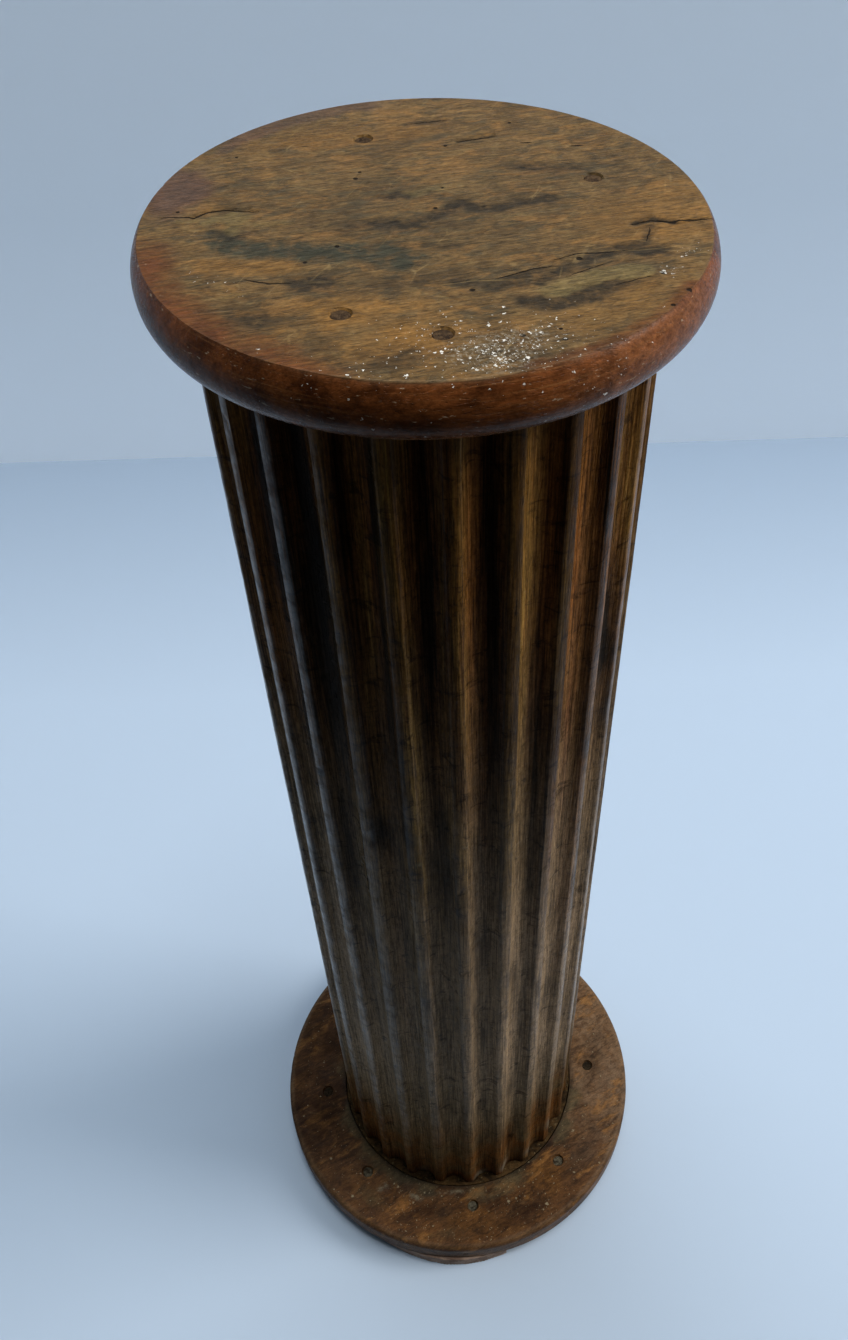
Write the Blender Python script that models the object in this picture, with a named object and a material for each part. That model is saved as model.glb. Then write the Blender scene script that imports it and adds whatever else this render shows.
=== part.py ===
# A fluted wooden column: a round top, a straight fluted shaft, a round base and a rough board under it.
import math

import bmesh
import bpy
from mathutils import Matrix

# Lengths are in metres, angles in degrees. Azimuth 0 is the front (-Y), positive toward +X.

# The gap that is left between pieces that touch.
GAP = 0.0003

# Top: a turned disc, a little oval with age, flat on top and rounded at its edge.
TOP_RADIUS = 0.1430
TOP_THICKNESS = 0.0316
TOP_ARRIS_INSET = 0.0056
TOP_UNDERSIDE_INSET = 0.0123
TOP_WIDEST_DROP = 0.0155
TOP_OVAL_RATIO = 1.04
TOP_OVAL_TURN = 14.0

# Shaft: one straight post with flutes cut from end to end, and a flat fillet between each two.
SHAFT_LENGTH = 0.9342
SHAFT_RADIUS = 0.1185
FLUTE_COUNT = 24
FLUTE_DEPTH = 0.0065
FILLET_WIDTH = 0.0080
FLUTE_TURN = 4.0

# Base: a wider round disc, with a shallow round housing that the foot of the shaft stands in.
BASE_RADIUS = 0.1829
BASE_THICKNESS = 0.0243
BASE_EDGE_ROUND = 0.0055
BASE_UNDERSIDE_BEVEL = 0.0010
HOUSING_CLEARANCE = 0.0030
HOUSING_DEPTH = 0.0060

# Foot board: rough sawn in short flats, proud of the base at the front, with a piece broken out.
FOOT_THICKNESS = 0.0150
FOOT_SETBACK = 0.0044
FOOT_SIDES = 60
FOOT_LOBE_REACH = 0.0070
FOOT_LOBE_AZIMUTH = -4.0
FOOT_LOBE_HALF_ANGLE = 30.0
BREAK_START = 13.5
BREAK_END = 46.0
BREAK_SLANT = 1.5
BREAK_DEPTH = 0.0110

# Fixings: round plugs, each in a blind hole and sunk a little under the face around it.
TOP_PLUG_RADIUS = 0.0050
TOP_PLUG_SINK = 0.0008
TOP_PLUG_HOLE_DEPTH = 0.0100
TOP_PLUG_MARGIN = 0.0492
TOP_PLUG_AZIMUTHS = (-23.0, -161.4)
FRONT_PLUG_MARGIN = 0.0379
FRONT_PLUG_AZIMUTH = 3.3
RIGHT_PLUG_MARGIN = 0.0520
RIGHT_PLUG_AZIMUTH = 111.6
BASE_PLUG_RADIUS = 0.0055
BASE_PLUG_SINK = 0.0018
BASE_PLUG_HOLE_DEPTH = 0.0100
BASE_PLUG_MARGIN = 0.0415
BASE_PLUG_AZIMUTHS = (4.0, 45.0, 90.0, 135.0, 180.0, -135.0, -83.0, -43.0)

# How finely the round shapes are divided.
DISC_SEGMENTS = 96
EDGE_STEPS = 5
FLUTE_STEPS = 6
PLUG_SEGMENTS = 20
SMOOTH_ANGLE = 35.0

# Heights of the stacked pieces, from the floor up.
BASE_BOTTOM = FOOT_THICKNESS + GAP
BASE_TOP = BASE_BOTTOM + BASE_THICKNESS
SHAFT_BOTTOM = BASE_TOP - HOUSING_DEPTH + GAP
SHAFT_TOP = SHAFT_BOTTOM + SHAFT_LENGTH
TOP_BOTTOM = SHAFT_TOP + GAP
TOP_FACE = TOP_BOTTOM + TOP_THICKNESS


def clear_scene():
    """Remove every object of the scene that the script starts in."""
    for old in list(bpy.data.objects):
        bpy.data.objects.remove(old, do_unlink=True)


def make_material(name, colour, roughness):
    """Make a plain wood or filler material."""
    material = bpy.data.materials.new(name)
    material.use_nodes = True
    shader = material.node_tree.nodes["Principled BSDF"]
    shader.inputs["Base Color"].default_value = (*colour, 1.0)
    shader.inputs["Roughness"].default_value = roughness
    shader.inputs["Metallic"].default_value = 0.0
    material.diffuse_color = (*colour, 1.0)
    return material


def direction(azimuth):
    """Give the unit vector of an azimuth that is counted from the front."""
    angle = math.radians(azimuth)
    return math.sin(angle), -math.cos(angle)


def ring_places(azimuths, reach):
    """Give the (x, y) places on a ring round the column's axis."""
    return [(reach * direction(azimuth)[0], reach * direction(azimuth)[1]) for azimuth in azimuths]


def finish_mesh(name, shape, material, location=(0.0, 0.0, 0.0)):
    """Turn a bmesh into a named object with outward faces and smooth round sides."""
    bmesh.ops.recalc_face_normals(shape, faces=shape.faces)
    mesh = bpy.data.meshes.new(name)
    shape.to_mesh(mesh)
    shape.free()
    if material is not None:
        mesh.materials.append(material)
    mesh.shade_smooth()
    mesh.set_sharp_from_angle(angle=math.radians(SMOOTH_ANGLE))
    made = bpy.data.objects.new(name, mesh)
    made.location = location
    bpy.context.scene.collection.objects.link(made)
    return made


def edge_arc(widest_radius, end_radius, height, steps):
    """Give (inset, rise) points on the arc from an edge's widest line to its end, widest first."""
    inset = widest_radius - end_radius
    bend = (inset * inset + height * height) / (2.0 * inset)
    whole = math.atan2(height, bend - inset)
    points = []
    for step in range(steps + 1):
        turn = whole * step / steps
        points.append((bend - bend * math.cos(turn), bend * math.sin(turn)))
    return points


def turned_disc(profile, segments):
    """Spin (radius, height) points, from the underside's rim up and in, to a closed solid."""
    shape = bmesh.new()
    rings = []
    for radius, height in profile:
        ring = []
        for step in range(segments):
            across, along = direction(360.0 * step / segments)
            ring.append(shape.verts.new((radius * across, radius * along, height)))
        rings.append(ring)
    for lower, upper in zip(rings, rings[1:]):
        for step in range(segments):
            after = (step + 1) % segments
            shape.faces.new((lower[step], lower[after], upper[after], upper[step]))
    shape.faces.new(list(reversed(rings[0])))
    shape.faces.new(rings[-1])
    return shape


def prism(outline, height):
    """Raise a flat outline of (x, y) points to a closed solid with flat ends."""
    shape = bmesh.new()
    floor = [shape.verts.new((x, y, 0.0)) for x, y in outline]
    roof = [shape.verts.new((x, y, height)) for x, y in outline]
    for step in range(len(outline)):
        after = (step + 1) % len(outline)
        shape.faces.new((floor[step], floor[after], roof[after], roof[step]))
    shape.faces.new(list(reversed(floor)))
    shape.faces.new(roof)
    return shape


def drill(piece, places, radius, face_height, depth):
    """Cut blind round holes down from a face, at the given places."""
    shape = bmesh.new()
    above = depth
    for x, y in places:
        middle = face_height - depth + (depth + above) / 2.0
        spot = Matrix.Translation((x, y, middle))
        bmesh.ops.create_cone(
            shape, cap_ends=True, segments=PLUG_SEGMENTS, radius1=radius, radius2=radius,
            depth=depth + above, matrix=spot)
    cutter = finish_mesh(piece.name + "_hole_cutter", shape, None)
    cutter.parent = piece
    cutter.hide_render = True
    cutter.display_type = "WIRE"
    cut = piece.modifiers.new("plug_holes", "BOOLEAN")
    cut.operation = "DIFFERENCE"
    cut.solver = "EXACT"
    cut.object = cutter


def add_plugs(name, places, radius, length, bottom, material):
    """Stand one plug in each hole; the plugs share a mesh."""
    shape = bmesh.new()
    bmesh.ops.create_cone(
        shape, cap_ends=True, segments=PLUG_SEGMENTS, radius1=radius, radius2=radius, depth=length)
    first = None
    for number, (x, y) in enumerate(places, start=1):
        label = "{}_{}".format(name, number)
        height = bottom + length / 2.0
        if first is None:
            first = finish_mesh(label, shape, material, (x, y, height))
        else:
            copy = bpy.data.objects.new(label, first.data)
            copy.location = (x, y, height)
            bpy.context.scene.collection.objects.link(copy)


def make_top(places, material):
    """Make the oval top with its rounded edge, its widest line a little above the middle."""
    widest = TOP_THICKNESS - TOP_WIDEST_DROP
    below = edge_arc(TOP_RADIUS, TOP_RADIUS - TOP_UNDERSIDE_INSET, widest, EDGE_STEPS)
    above = edge_arc(TOP_RADIUS, TOP_RADIUS - TOP_ARRIS_INSET, TOP_WIDEST_DROP, EDGE_STEPS)
    profile = [(TOP_RADIUS - inset, widest - fall) for inset, fall in reversed(below)]
    profile += [(TOP_RADIUS - inset, widest + rise) for inset, rise in above[1:]]
    shape = turned_disc(profile, DISC_SEGMENTS)
    turn = Matrix.Rotation(math.radians(TOP_OVAL_TURN), 4, "Z")
    short = 1.0 / math.sqrt(TOP_OVAL_RATIO)
    stretch = Matrix.Diagonal((short, 1.0 / short, 1.0, 1.0))
    bmesh.ops.transform(shape, matrix=turn @ stretch @ turn.inverted(), verts=shape.verts)
    top = finish_mesh("top_disc", shape, material, (0.0, 0.0, TOP_BOTTOM))
    drill(top, places, TOP_PLUG_RADIUS + GAP, TOP_THICKNESS, TOP_PLUG_HOLE_DEPTH)
    return top


def shaft_outline():
    """Walk round the shaft's section: a flat fillet, then one concave flute, over and over."""
    pitch = 360.0 / FLUTE_COUNT
    half_fillet = math.degrees(math.asin(FILLET_WIDTH / 2.0 / SHAFT_RADIUS))
    half_flute = pitch / 2.0 - half_fillet
    half_chord = SHAFT_RADIUS * math.sin(math.radians(half_flute))
    chord_out = SHAFT_RADIUS * math.cos(math.radians(half_flute))
    bend = (half_chord * half_chord + FLUTE_DEPTH * FLUTE_DEPTH) / (2.0 * FLUTE_DEPTH)
    half_sweep = math.asin(half_chord / bend)
    outline = []
    for flute in range(FLUTE_COUNT):
        out_x, out_y = direction(FLUTE_TURN + pitch * (flute + 0.5))
        side_x, side_y = -out_y, out_x
        for step in range(FLUTE_STEPS + 1):
            sweep = half_sweep * (2.0 * step / FLUTE_STEPS - 1.0)
            sideways = bend * math.sin(sweep)
            inward = bend * math.cos(sweep) - (bend - FLUTE_DEPTH)
            reach = chord_out - inward
            outline.append((reach * out_x + sideways * side_x, reach * out_y + sideways * side_y))
    return outline


def make_shaft(material):
    """Raise the fluted section from the housing's floor to the underside of the top."""
    shape = prism(shaft_outline(), SHAFT_LENGTH)
    return finish_mesh("fluted_shaft", shape, material, (0.0, 0.0, SHAFT_BOTTOM))


def make_base(places, material):
    """Make the base disc with its rounded upper edge and the housing in its upper face."""
    housing_radius = SHAFT_RADIUS + HOUSING_CLEARANCE
    round_start = BASE_THICKNESS - BASE_EDGE_ROUND
    profile = [(BASE_RADIUS - BASE_UNDERSIDE_BEVEL, 0.0), (BASE_RADIUS, BASE_UNDERSIDE_BEVEL)]
    for step in range(EDGE_STEPS + 1):
        turn = math.radians(90.0 * step / EDGE_STEPS)
        inset = BASE_EDGE_ROUND * (1.0 - math.cos(turn))
        profile.append((BASE_RADIUS - inset, round_start + BASE_EDGE_ROUND * math.sin(turn)))
    profile.append((housing_radius, BASE_THICKNESS))
    profile.append((housing_radius, BASE_THICKNESS - HOUSING_DEPTH))
    shape = turned_disc(profile, DISC_SEGMENTS)
    base = finish_mesh("base_disc", shape, material, (0.0, 0.0, BASE_BOTTOM))
    drill(base, places, BASE_PLUG_RADIUS + GAP, BASE_THICKNESS, BASE_PLUG_HOLE_DEPTH)
    return base


def foot_radius(azimuth):
    """Give the foot board's reach at an azimuth, before the break."""
    away = abs(azimuth - FOOT_LOBE_AZIMUTH) / FOOT_LOBE_HALF_ANGLE
    lobe = math.cos(math.radians(90.0 * away)) ** 2 if away < 1.0 else 0.0
    return BASE_RADIUS - FOOT_SETBACK + FOOT_LOBE_REACH * lobe


def make_foot(material):
    """Saw the foot board's outline in short flats and break a piece out beside the front."""
    flat = 360.0 / FOOT_SIDES
    corners = [flat * step - 180.0 for step in range(FOOT_SIDES)]
    whole = [(a, foot_radius(a)) for a in corners if not BREAK_START <= a <= BREAK_END]
    inner = BASE_RADIUS - FOOT_SETBACK - BREAK_DEPTH
    broken = [(a, inner) for a in corners if BREAK_START + BREAK_SLANT < a < BREAK_END - BREAK_SLANT]
    broken.append((BREAK_START, foot_radius(BREAK_START)))
    broken.append((BREAK_START + BREAK_SLANT, inner))
    broken.append((BREAK_END - BREAK_SLANT, inner))
    broken.append((BREAK_END, foot_radius(BREAK_END)))
    outline = []
    for azimuth, radius in sorted(whole + broken):
        across, along = direction(azimuth)
        outline.append((radius * across, radius * along))
    return finish_mesh("foot_board", prism(outline, FOOT_THICKNESS), material)


def build_column():
    """Build every piece of the column where it stands."""
    top_wood = make_material("worn_top_wood", (0.150, 0.085, 0.035), 0.62)
    shaft_wood = make_material("dark_shaft_wood", (0.035, 0.020, 0.012), 0.50)
    base_wood = make_material("red_brown_base_wood", (0.100, 0.048, 0.024), 0.60)
    foot_wood = make_material("grey_foot_wood", (0.120, 0.080, 0.065), 0.80)
    plug_wood = make_material("brown_plug_wood", (0.090, 0.055, 0.030), 0.75)
    filler = make_material("grey_plug_filler", (0.140, 0.120, 0.085), 0.85)

    base_places = ring_places(BASE_PLUG_AZIMUTHS, BASE_RADIUS - BASE_PLUG_MARGIN)
    top_places = ring_places(TOP_PLUG_AZIMUTHS, TOP_RADIUS - TOP_PLUG_MARGIN)
    top_places += ring_places((FRONT_PLUG_AZIMUTH,), TOP_RADIUS - FRONT_PLUG_MARGIN)
    top_places += ring_places((RIGHT_PLUG_AZIMUTH,), TOP_RADIUS - RIGHT_PLUG_MARGIN)

    make_foot(foot_wood)
    make_base(base_places, base_wood)
    make_shaft(shaft_wood)
    make_top(top_places, top_wood)
    add_plugs(
        "top_plug", top_places, TOP_PLUG_RADIUS,
        TOP_PLUG_HOLE_DEPTH - TOP_PLUG_SINK - GAP, TOP_FACE - TOP_PLUG_HOLE_DEPTH + GAP, plug_wood)
    add_plugs(
        "base_plug", base_places, BASE_PLUG_RADIUS,
        BASE_PLUG_HOLE_DEPTH - BASE_PLUG_SINK - GAP, BASE_TOP - BASE_PLUG_HOLE_DEPTH + GAP, filler)


clear_scene()
build_column()
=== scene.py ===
# %% [markdown]
# # A worn fluted column
# The column is wood: a round top with a rounded edge, a straight shaft with flutes from end to end, a round
# base, and a rough board under it. This lesson dresses the plain solids of the column with meshes that hold
# its dents, chips and hand-cut edges, and with node materials for its worn varnish, dust and paint spatter.

# %% [markdown]
# ## The frame
# The solids come in first and are never moved. Each detailed piece is built in the same metres round the
# same axis and takes its solid's place.

# %% Load the frame
import math

import bpy
import numpy as np
from mathutils import Matrix, Vector


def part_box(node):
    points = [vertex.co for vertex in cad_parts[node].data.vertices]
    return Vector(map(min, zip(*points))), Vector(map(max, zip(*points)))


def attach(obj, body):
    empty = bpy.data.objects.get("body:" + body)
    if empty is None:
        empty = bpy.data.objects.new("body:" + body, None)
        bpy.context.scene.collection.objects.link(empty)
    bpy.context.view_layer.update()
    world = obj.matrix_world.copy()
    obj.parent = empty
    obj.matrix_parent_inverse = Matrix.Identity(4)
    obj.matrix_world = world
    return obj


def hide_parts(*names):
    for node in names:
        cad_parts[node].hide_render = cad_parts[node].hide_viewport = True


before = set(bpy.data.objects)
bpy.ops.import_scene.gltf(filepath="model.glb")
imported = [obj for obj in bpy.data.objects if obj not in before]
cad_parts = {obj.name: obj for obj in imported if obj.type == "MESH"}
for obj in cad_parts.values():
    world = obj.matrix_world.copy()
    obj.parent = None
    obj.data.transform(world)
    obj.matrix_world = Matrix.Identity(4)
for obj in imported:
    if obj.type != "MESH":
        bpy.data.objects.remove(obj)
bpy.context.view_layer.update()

# %% [markdown]
# ## The camera
# The picture looks down on the column from chest height, so the top shows wide and the base small. The
# camera stands in front of the column at about 1.25 m and points 47.6 degrees down. Its lens and its small
# shift are those that put the outlines of top, shaft and base where the picture has them.

# %% Set up the camera
FRAME_WIDE, FRAME_HIGH = 848.0, 1340.0
LENS_PIXELS = 1150.0
CENTRE_X, CENTRE_Y = 443.95, 679.12
EYE = Vector((0.0, -0.5304, 1.2542))
PITCH, YAW, ROLL = 0.831, 0.003, -0.038


def make_camera():
    """Place the camera from its pitch, yaw and roll."""
    forward = Vector((math.sin(YAW) * math.cos(PITCH), math.cos(YAW) * math.cos(PITCH), -math.sin(PITCH)))
    right = Vector((math.cos(YAW), -math.sin(YAW), 0.0))
    up = right.cross(forward)
    side = math.cos(ROLL) * right + math.sin(ROLL) * up
    head = -math.sin(ROLL) * right + math.cos(ROLL) * up
    data = bpy.data.cameras.new("eye")
    data.sensor_width = 36.0
    data.lens = LENS_PIXELS / FRAME_HIGH * data.sensor_width
    data.shift_x = (FRAME_WIDE / 2.0 - CENTRE_X) / FRAME_HIGH
    data.shift_y = (CENTRE_Y - FRAME_HIGH / 2.0) / FRAME_HIGH
    data.clip_start = 0.01
    eye = bpy.data.objects.new("eye", data)
    turn = Matrix((side, head, -forward)).transposed().to_4x4()
    eye.matrix_world = Matrix.Translation(EYE) @ turn
    bpy.context.scene.collection.objects.link(eye)
    bpy.context.scene.camera = eye
    return eye


camera = make_camera()
print(
    "lens", round(camera.data.lens, 2), "mm, shift", round(camera.data.shift_x, 4),
    round(camera.data.shift_y, 4))

# %% [markdown]
# ## Floor, wall and light
# The column stands on a plain pale floor in front of a plain pale wall, in soft light. A wide lamp high on
# the right gives the soft shadow on the left of the base and the grey sheen along the right of the shaft.
# Varnish mirrors what stands before it, so a dark flag stands across the front, out of sight, as a studio
# sets one: the upper shaft then mirrors the flag and stays deep brown, and the lower shaft mirrors the pale
# floor. The wall is clear from its back, so that the column also shows from behind it.

# %% Set the stage and the lamps
WALL_DISTANCE = 1.175
WALL_SKEW = 0.0147
WALL_HEIGHT = 3.0
STAGE_REACH = 6.0
FLAG_HALF_WIDTH, FLAG_DISTANCE, FLAG_HEIGHT = 1.6, 0.56, 2.2
# The floor's far colour is darker: painted shade where the floor meets the wall.
FLOOR_NEAR, FLOOR_SHADED_AT_WALL = (0.485, 0.590, 0.715), (0.350, 0.440, 0.550)
# The wall's glow is painted light; it is brighter low down as painted bounce light from the floor.
WALL_GLOW_LOW, WALL_GLOW_HIGH, WALL_GLOW_FADE = (0.130, 0.155, 0.185), (0.055, 0.075, 0.100), 0.45
LAMP_TARGET = (0.0, 0.0, 0.4)


def stage_material(name, colour, roughness):
    """Make the plain matt paint of the floor or the wall."""
    paint = bpy.data.materials.new(name)
    paint.use_nodes = True
    shader = paint.node_tree.nodes["Principled BSDF"]
    shader.inputs["Base Color"].default_value = (*colour, 1.0)
    shader.inputs["Roughness"].default_value = roughness
    return paint


def fade_colour(paint, socket, axis, low, high, first, second):
    """Let a colour of a paint fade into a second one along an axis."""
    nodes, links = paint.node_tree.nodes, paint.node_tree.links
    where = nodes.new("ShaderNodeTexCoord")
    split = nodes.new("ShaderNodeSeparateXYZ")
    reach = nodes.new("ShaderNodeMapRange")
    reach.inputs["From Min"].default_value = low
    reach.inputs["From Max"].default_value = high
    blend = nodes.new("ShaderNodeMix")
    blend.data_type = "RGBA"
    blend.inputs[6].default_value = (*first, 1.0)
    blend.inputs[7].default_value = (*second, 1.0)
    links.new(where.outputs["Object"], split.inputs[0])
    links.new(split.outputs[axis], reach.inputs["Value"])
    links.new(reach.outputs[0], blend.inputs[0])
    links.new(blend.outputs[2], nodes["Principled BSDF"].inputs[socket])


def clear_back(paint):
    """Make a panel clear on its back side, so that the column also shows from behind it."""
    nodes, links = paint.node_tree.nodes, paint.node_tree.links
    side = nodes.new("ShaderNodeNewGeometry")
    front = nodes.new("ShaderNodeMath")
    front.operation = "SUBTRACT"
    front.inputs[0].default_value = 1.0
    links.new(side.outputs["Backfacing"], front.inputs[1])
    links.new(front.outputs[0], nodes["Principled BSDF"].inputs["Alpha"])


def upright(left, right, height):
    """Give the corners of an upright panel over a line on the floor."""
    return [(*left, 0.0), (*right, 0.0), (*right, height), (*left, height)]


def flat_panel(name, corners, paint):
    """Make one flat four-sided panel of the stage."""
    mesh = bpy.data.meshes.new(name)
    mesh.from_pydata(corners, [], [(0, 1, 2, 3)])
    mesh.materials.append(paint)
    panel = bpy.data.objects.new(name, mesh)
    bpy.context.scene.collection.objects.link(panel)
    return panel


def soft_lamp(name, place, target, wide, high, watts, colour):
    """Make one soft rectangular lamp that points at a target."""
    data = bpy.data.lights.new(name, "AREA")
    data.shape = "RECTANGLE"
    data.size = wide
    data.size_y = high
    data.energy = watts
    data.color = colour
    lamp = bpy.data.objects.new(name, data)
    lamp.location = place
    lamp.rotation_euler = (Vector(target) - Vector(place)).to_track_quat("-Z", "Y").to_euler()
    bpy.context.scene.collection.objects.link(lamp)
    return lamp


floor_paint = stage_material("pale_floor", FLOOR_NEAR, 0.9)
wall_paint = stage_material("pale_wall", (0.80, 0.87, 0.94), 0.95)
# The wall glows faintly though it is no lamp: painted light.
wall_paint.node_tree.nodes["Principled BSDF"].inputs["Emission Strength"].default_value = 0.85
# The floor darkens towards the wall: painted shade at the wall's foot.
fade_colour(floor_paint, "Base Color", 1, 0.60, WALL_DISTANCE, FLOOR_NEAR, FLOOR_SHADED_AT_WALL)
# Its glow is stronger near the floor: painted bounce light from the floor.
fade_colour(wall_paint, "Emission Color", 2, 0.0, WALL_GLOW_FADE, WALL_GLOW_LOW, WALL_GLOW_HIGH)
clear_back(wall_paint)
wall_left = (-STAGE_REACH, WALL_DISTANCE + WALL_SKEW * STAGE_REACH)
wall_right = (STAGE_REACH, WALL_DISTANCE - WALL_SKEW * STAGE_REACH)
near_left, near_right = (-STAGE_REACH, -STAGE_REACH, 0.0), (STAGE_REACH, -STAGE_REACH, 0.0)
flat_panel("floor", [near_left, near_right, (*wall_right, 0.0), (*wall_left, 0.0)], floor_paint)
flat_panel("wall", upright(wall_left, wall_right, WALL_HEIGHT), wall_paint)

world = bpy.data.worlds.new("soft_room")
world.use_nodes = True
sky = world.node_tree.nodes["Background"]
sky.inputs["Color"].default_value = (0.74, 0.88, 1.0, 1.0)
sky.inputs["Strength"].default_value = 0.165
bpy.context.scene.world = world
bpy.context.scene.view_settings.view_transform = "Standard"

flag_paint = stage_material("dark_flag", (0.03, 0.026, 0.024), 0.95)
flag_left, flag_right = (-FLAG_HALF_WIDTH, -FLAG_DISTANCE), (FLAG_HALF_WIDTH, -FLAG_DISTANCE)
flag = flat_panel("dark_flag", upright(flag_left, flag_right, FLAG_HEIGHT), flag_paint)
flag.visible_camera = False
soft_lamp(
    "window_right", (7.8, 0.2, 6.6), LAMP_TARGET, wide=4.4, high=5.1, watts=760.0, colour=(1.0, 0.97, 0.94))
soft_lamp(
    "sky_above", (0.2, 0.2, 6.0), LAMP_TARGET, wide=3.6, high=1.6, watts=185.0, colour=(0.95, 0.98, 1.0))
print("stage and lamps are set")

# %% [markdown]
# ## Shared tools for shapes
# Wood that has been used for a hundred years has no straight line left in it. A repeatable noise moves the
# points of every piece a little, and soft spots mark where a dent, a stain or a patch lies. Both are plain
# functions of a point's place, so the result is the same on each run.

# %% Noise, spots and mesh helpers
def lattice_noise(points, cell, seed):
    """Give smooth noise from -1 to 1 at each point, with bumps about one cell wide."""
    grid = points / cell
    base = np.floor(grid).astype(np.int64)
    part = grid - base
    part = part * part * (3.0 - 2.0 * part)
    total = np.zeros(len(points))
    for corner in range(8):
        step = np.array([corner & 1, (corner >> 1) & 1, (corner >> 2) & 1])
        node = (base + step) * np.array([73856093, 19349663, 83492791])
        mixed = (node[:, 0] ^ node[:, 1] ^ node[:, 2] ^ (seed * 2654435761)) & 0xFFFFFFFF
        mixed = (mixed ^ (mixed >> 15)) * 2246822519 & 0xFFFFFFFF
        mixed = (mixed ^ (mixed >> 13)) * 3266489917 & 0xFFFFFFFF
        value = ((mixed ^ (mixed >> 16)) & 0xFFFFFF) / float(0xFFFFFF) * 2.0 - 1.0
        weight = np.prod(np.where(step == 1, part, 1.0 - part), axis=1)
        total += weight * value
    return total


def layered_noise(points, cell, seed, layers=3):
    """Add finer and weaker layers of noise."""
    total = np.zeros(len(points))
    for layer in range(layers):
        total += lattice_noise(points, cell / 2.0 ** layer, seed + layer) * 0.5 ** layer
    return total / (2.0 - 0.5 ** (layers - 1))


def soft_step(low, high, value):
    """Rise smoothly from 0 at low to 1 at high."""
    part = np.clip((value - low) / (high - low), 0.0, 1.0)
    return part * part * (3.0 - 2.0 * part)


def turned_axes(points, turn):
    """Give how far points lie along and across an axis that is turned from X, in degrees."""
    angle = math.radians(turn)
    along = points[:, 0] * math.cos(angle) + points[:, 1] * math.sin(angle)
    across = -points[:, 0] * math.sin(angle) + points[:, 1] * math.cos(angle)
    return along, across


def squeezed(points, share):
    """Squeeze the heights of points, so that noise there comes out as long as the share is small."""
    return points * np.array([1.0, 1.0, share])


def soft_spot(points, centre, half_long, half_wide, turn, ragged=0.35, soft=0.45, seed=1):
    """Give 1 inside a ragged oval on the XY plane and 0 outside; turn is its long axis in degrees."""
    along, across = turned_axes(points[:, :2] - np.array(centre), turn)
    reach = np.sqrt((along / half_long) ** 2 + (across / half_wide) ** 2)
    reach += ragged * layered_noise(squeezed(points, 0.0), half_wide, seed)
    return 1.0 - soft_step(1.0 - soft, 1.0 + soft, reach)


def add_piece(name, points, faces, node, paint_layers=None, crease=38.0):
    """Make one smooth mesh piece that rides with the column; it stands for the named node's solid."""
    mesh = bpy.data.meshes.new(name)
    mesh.from_pydata(points.tolist(), [], faces)
    for layer, values in (paint_layers or {}).items():
        store = mesh.attributes.new(layer, "FLOAT", "POINT")
        store.data.foreach_set("value", np.asarray(values, dtype=np.float32))
    mesh.shade_smooth()
    mesh.set_sharp_from_angle(angle=math.radians(crease))
    piece = bpy.data.objects.new(name, mesh)
    bpy.context.scene.collection.objects.link(piece)
    if node:
        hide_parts(node)
    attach(piece, "root")
    triangles = sum(len(face) - 2 for face in faces)
    print(name, "has", len(points), "points and", triangles, "triangles")
    return piece


def ring_faces(first, second, count):
    """Join two rings of points, given by the number of their first points, with four-sided faces."""
    faces = []
    for step in range(count):
        after = (step + 1) % count
        faces.append((first + step, first + after, second + after, second + step))
    return faces


def stacked_faces(rings, count, downward=False):
    """Close a stack of rings of points into a skin, with one face at each end."""
    faces = []
    for ring in range(rings - 1):
        faces += ring_faces(ring * count, (ring + 1) * count, count)
    first = list(range(count))
    last = [(rings - 1) * count + step for step in range(count)]
    if downward:
        return [face[::-1] for face in faces] + [first, last[::-1]]
    return faces + [first[::-1], last]


def from_front(radius, azimuth, height):
    """Place points by radius, azimuth from the front in radians, and height."""
    return np.stack([radius * np.sin(azimuth), -radius * np.cos(azimuth), height], axis=1)


def from_right(radius, turn, height):
    """Place points by radius, turn from the right in radians, and height."""
    return np.stack([radius * np.cos(turn), radius * np.sin(turn), height], axis=1)


# %% [markdown]
# ## Sizes of the column
# The pieces follow the solids' sizes. The heights come from the solids' own boxes, so that a piece always
# sits where its solid is.

# %% Name the sizes
TOP_RADIUS, TOP_ARRIS_RADIUS, TOP_UNDER_RADIUS = 0.1430, 0.1374, 0.1307
TOP_WIDEST_DROP = 0.0155
TOP_OVAL, TOP_OVAL_TURN = 1.04, 14.0
SHAFT_RADIUS, FLUTE_COUNT, FLUTE_DEPTH, FILLET_WIDTH, FLUTE_TURN = 0.1185, 24, 0.0065, 0.0080, 4.0
BASE_RADIUS, BASE_EDGE_ROUND, BASE_BEVEL = 0.1829, 0.0055, 0.0010
HOUSING_RADIUS, HOUSING_DEPTH = 0.1215, 0.0060
SEAT_PLAY = 0.0004
TOP_BOTTOM, TOP_FACE = (corner[2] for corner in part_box("top_disc"))
SHAFT_BOTTOM, SHAFT_TOP = (corner[2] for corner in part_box("fluted_shaft"))
BASE_BOTTOM, BASE_TOP = (corner[2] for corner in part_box("base_disc"))
FOOT_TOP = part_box("foot_board")[1][2]
print("top from", round(TOP_BOTTOM, 4), "to", round(TOP_FACE, 4), "base top at", round(BASE_TOP, 4))


def plug_centre(node):
    """Give the middle (x, y), the radius and the height of a plug's face."""
    low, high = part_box(node)
    return (low[0] + high[0]) / 2.0, (low[1] + high[1]) / 2.0, (high[0] - low[0]) / 2.0, high[2]


TOP_PLUGS = [plug_centre("top_plug_%d" % n) for n in range(1, 5)]
BASE_PLUGS = [plug_centre("base_plug_%d" % n) for n in range(1, 9)]


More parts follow.
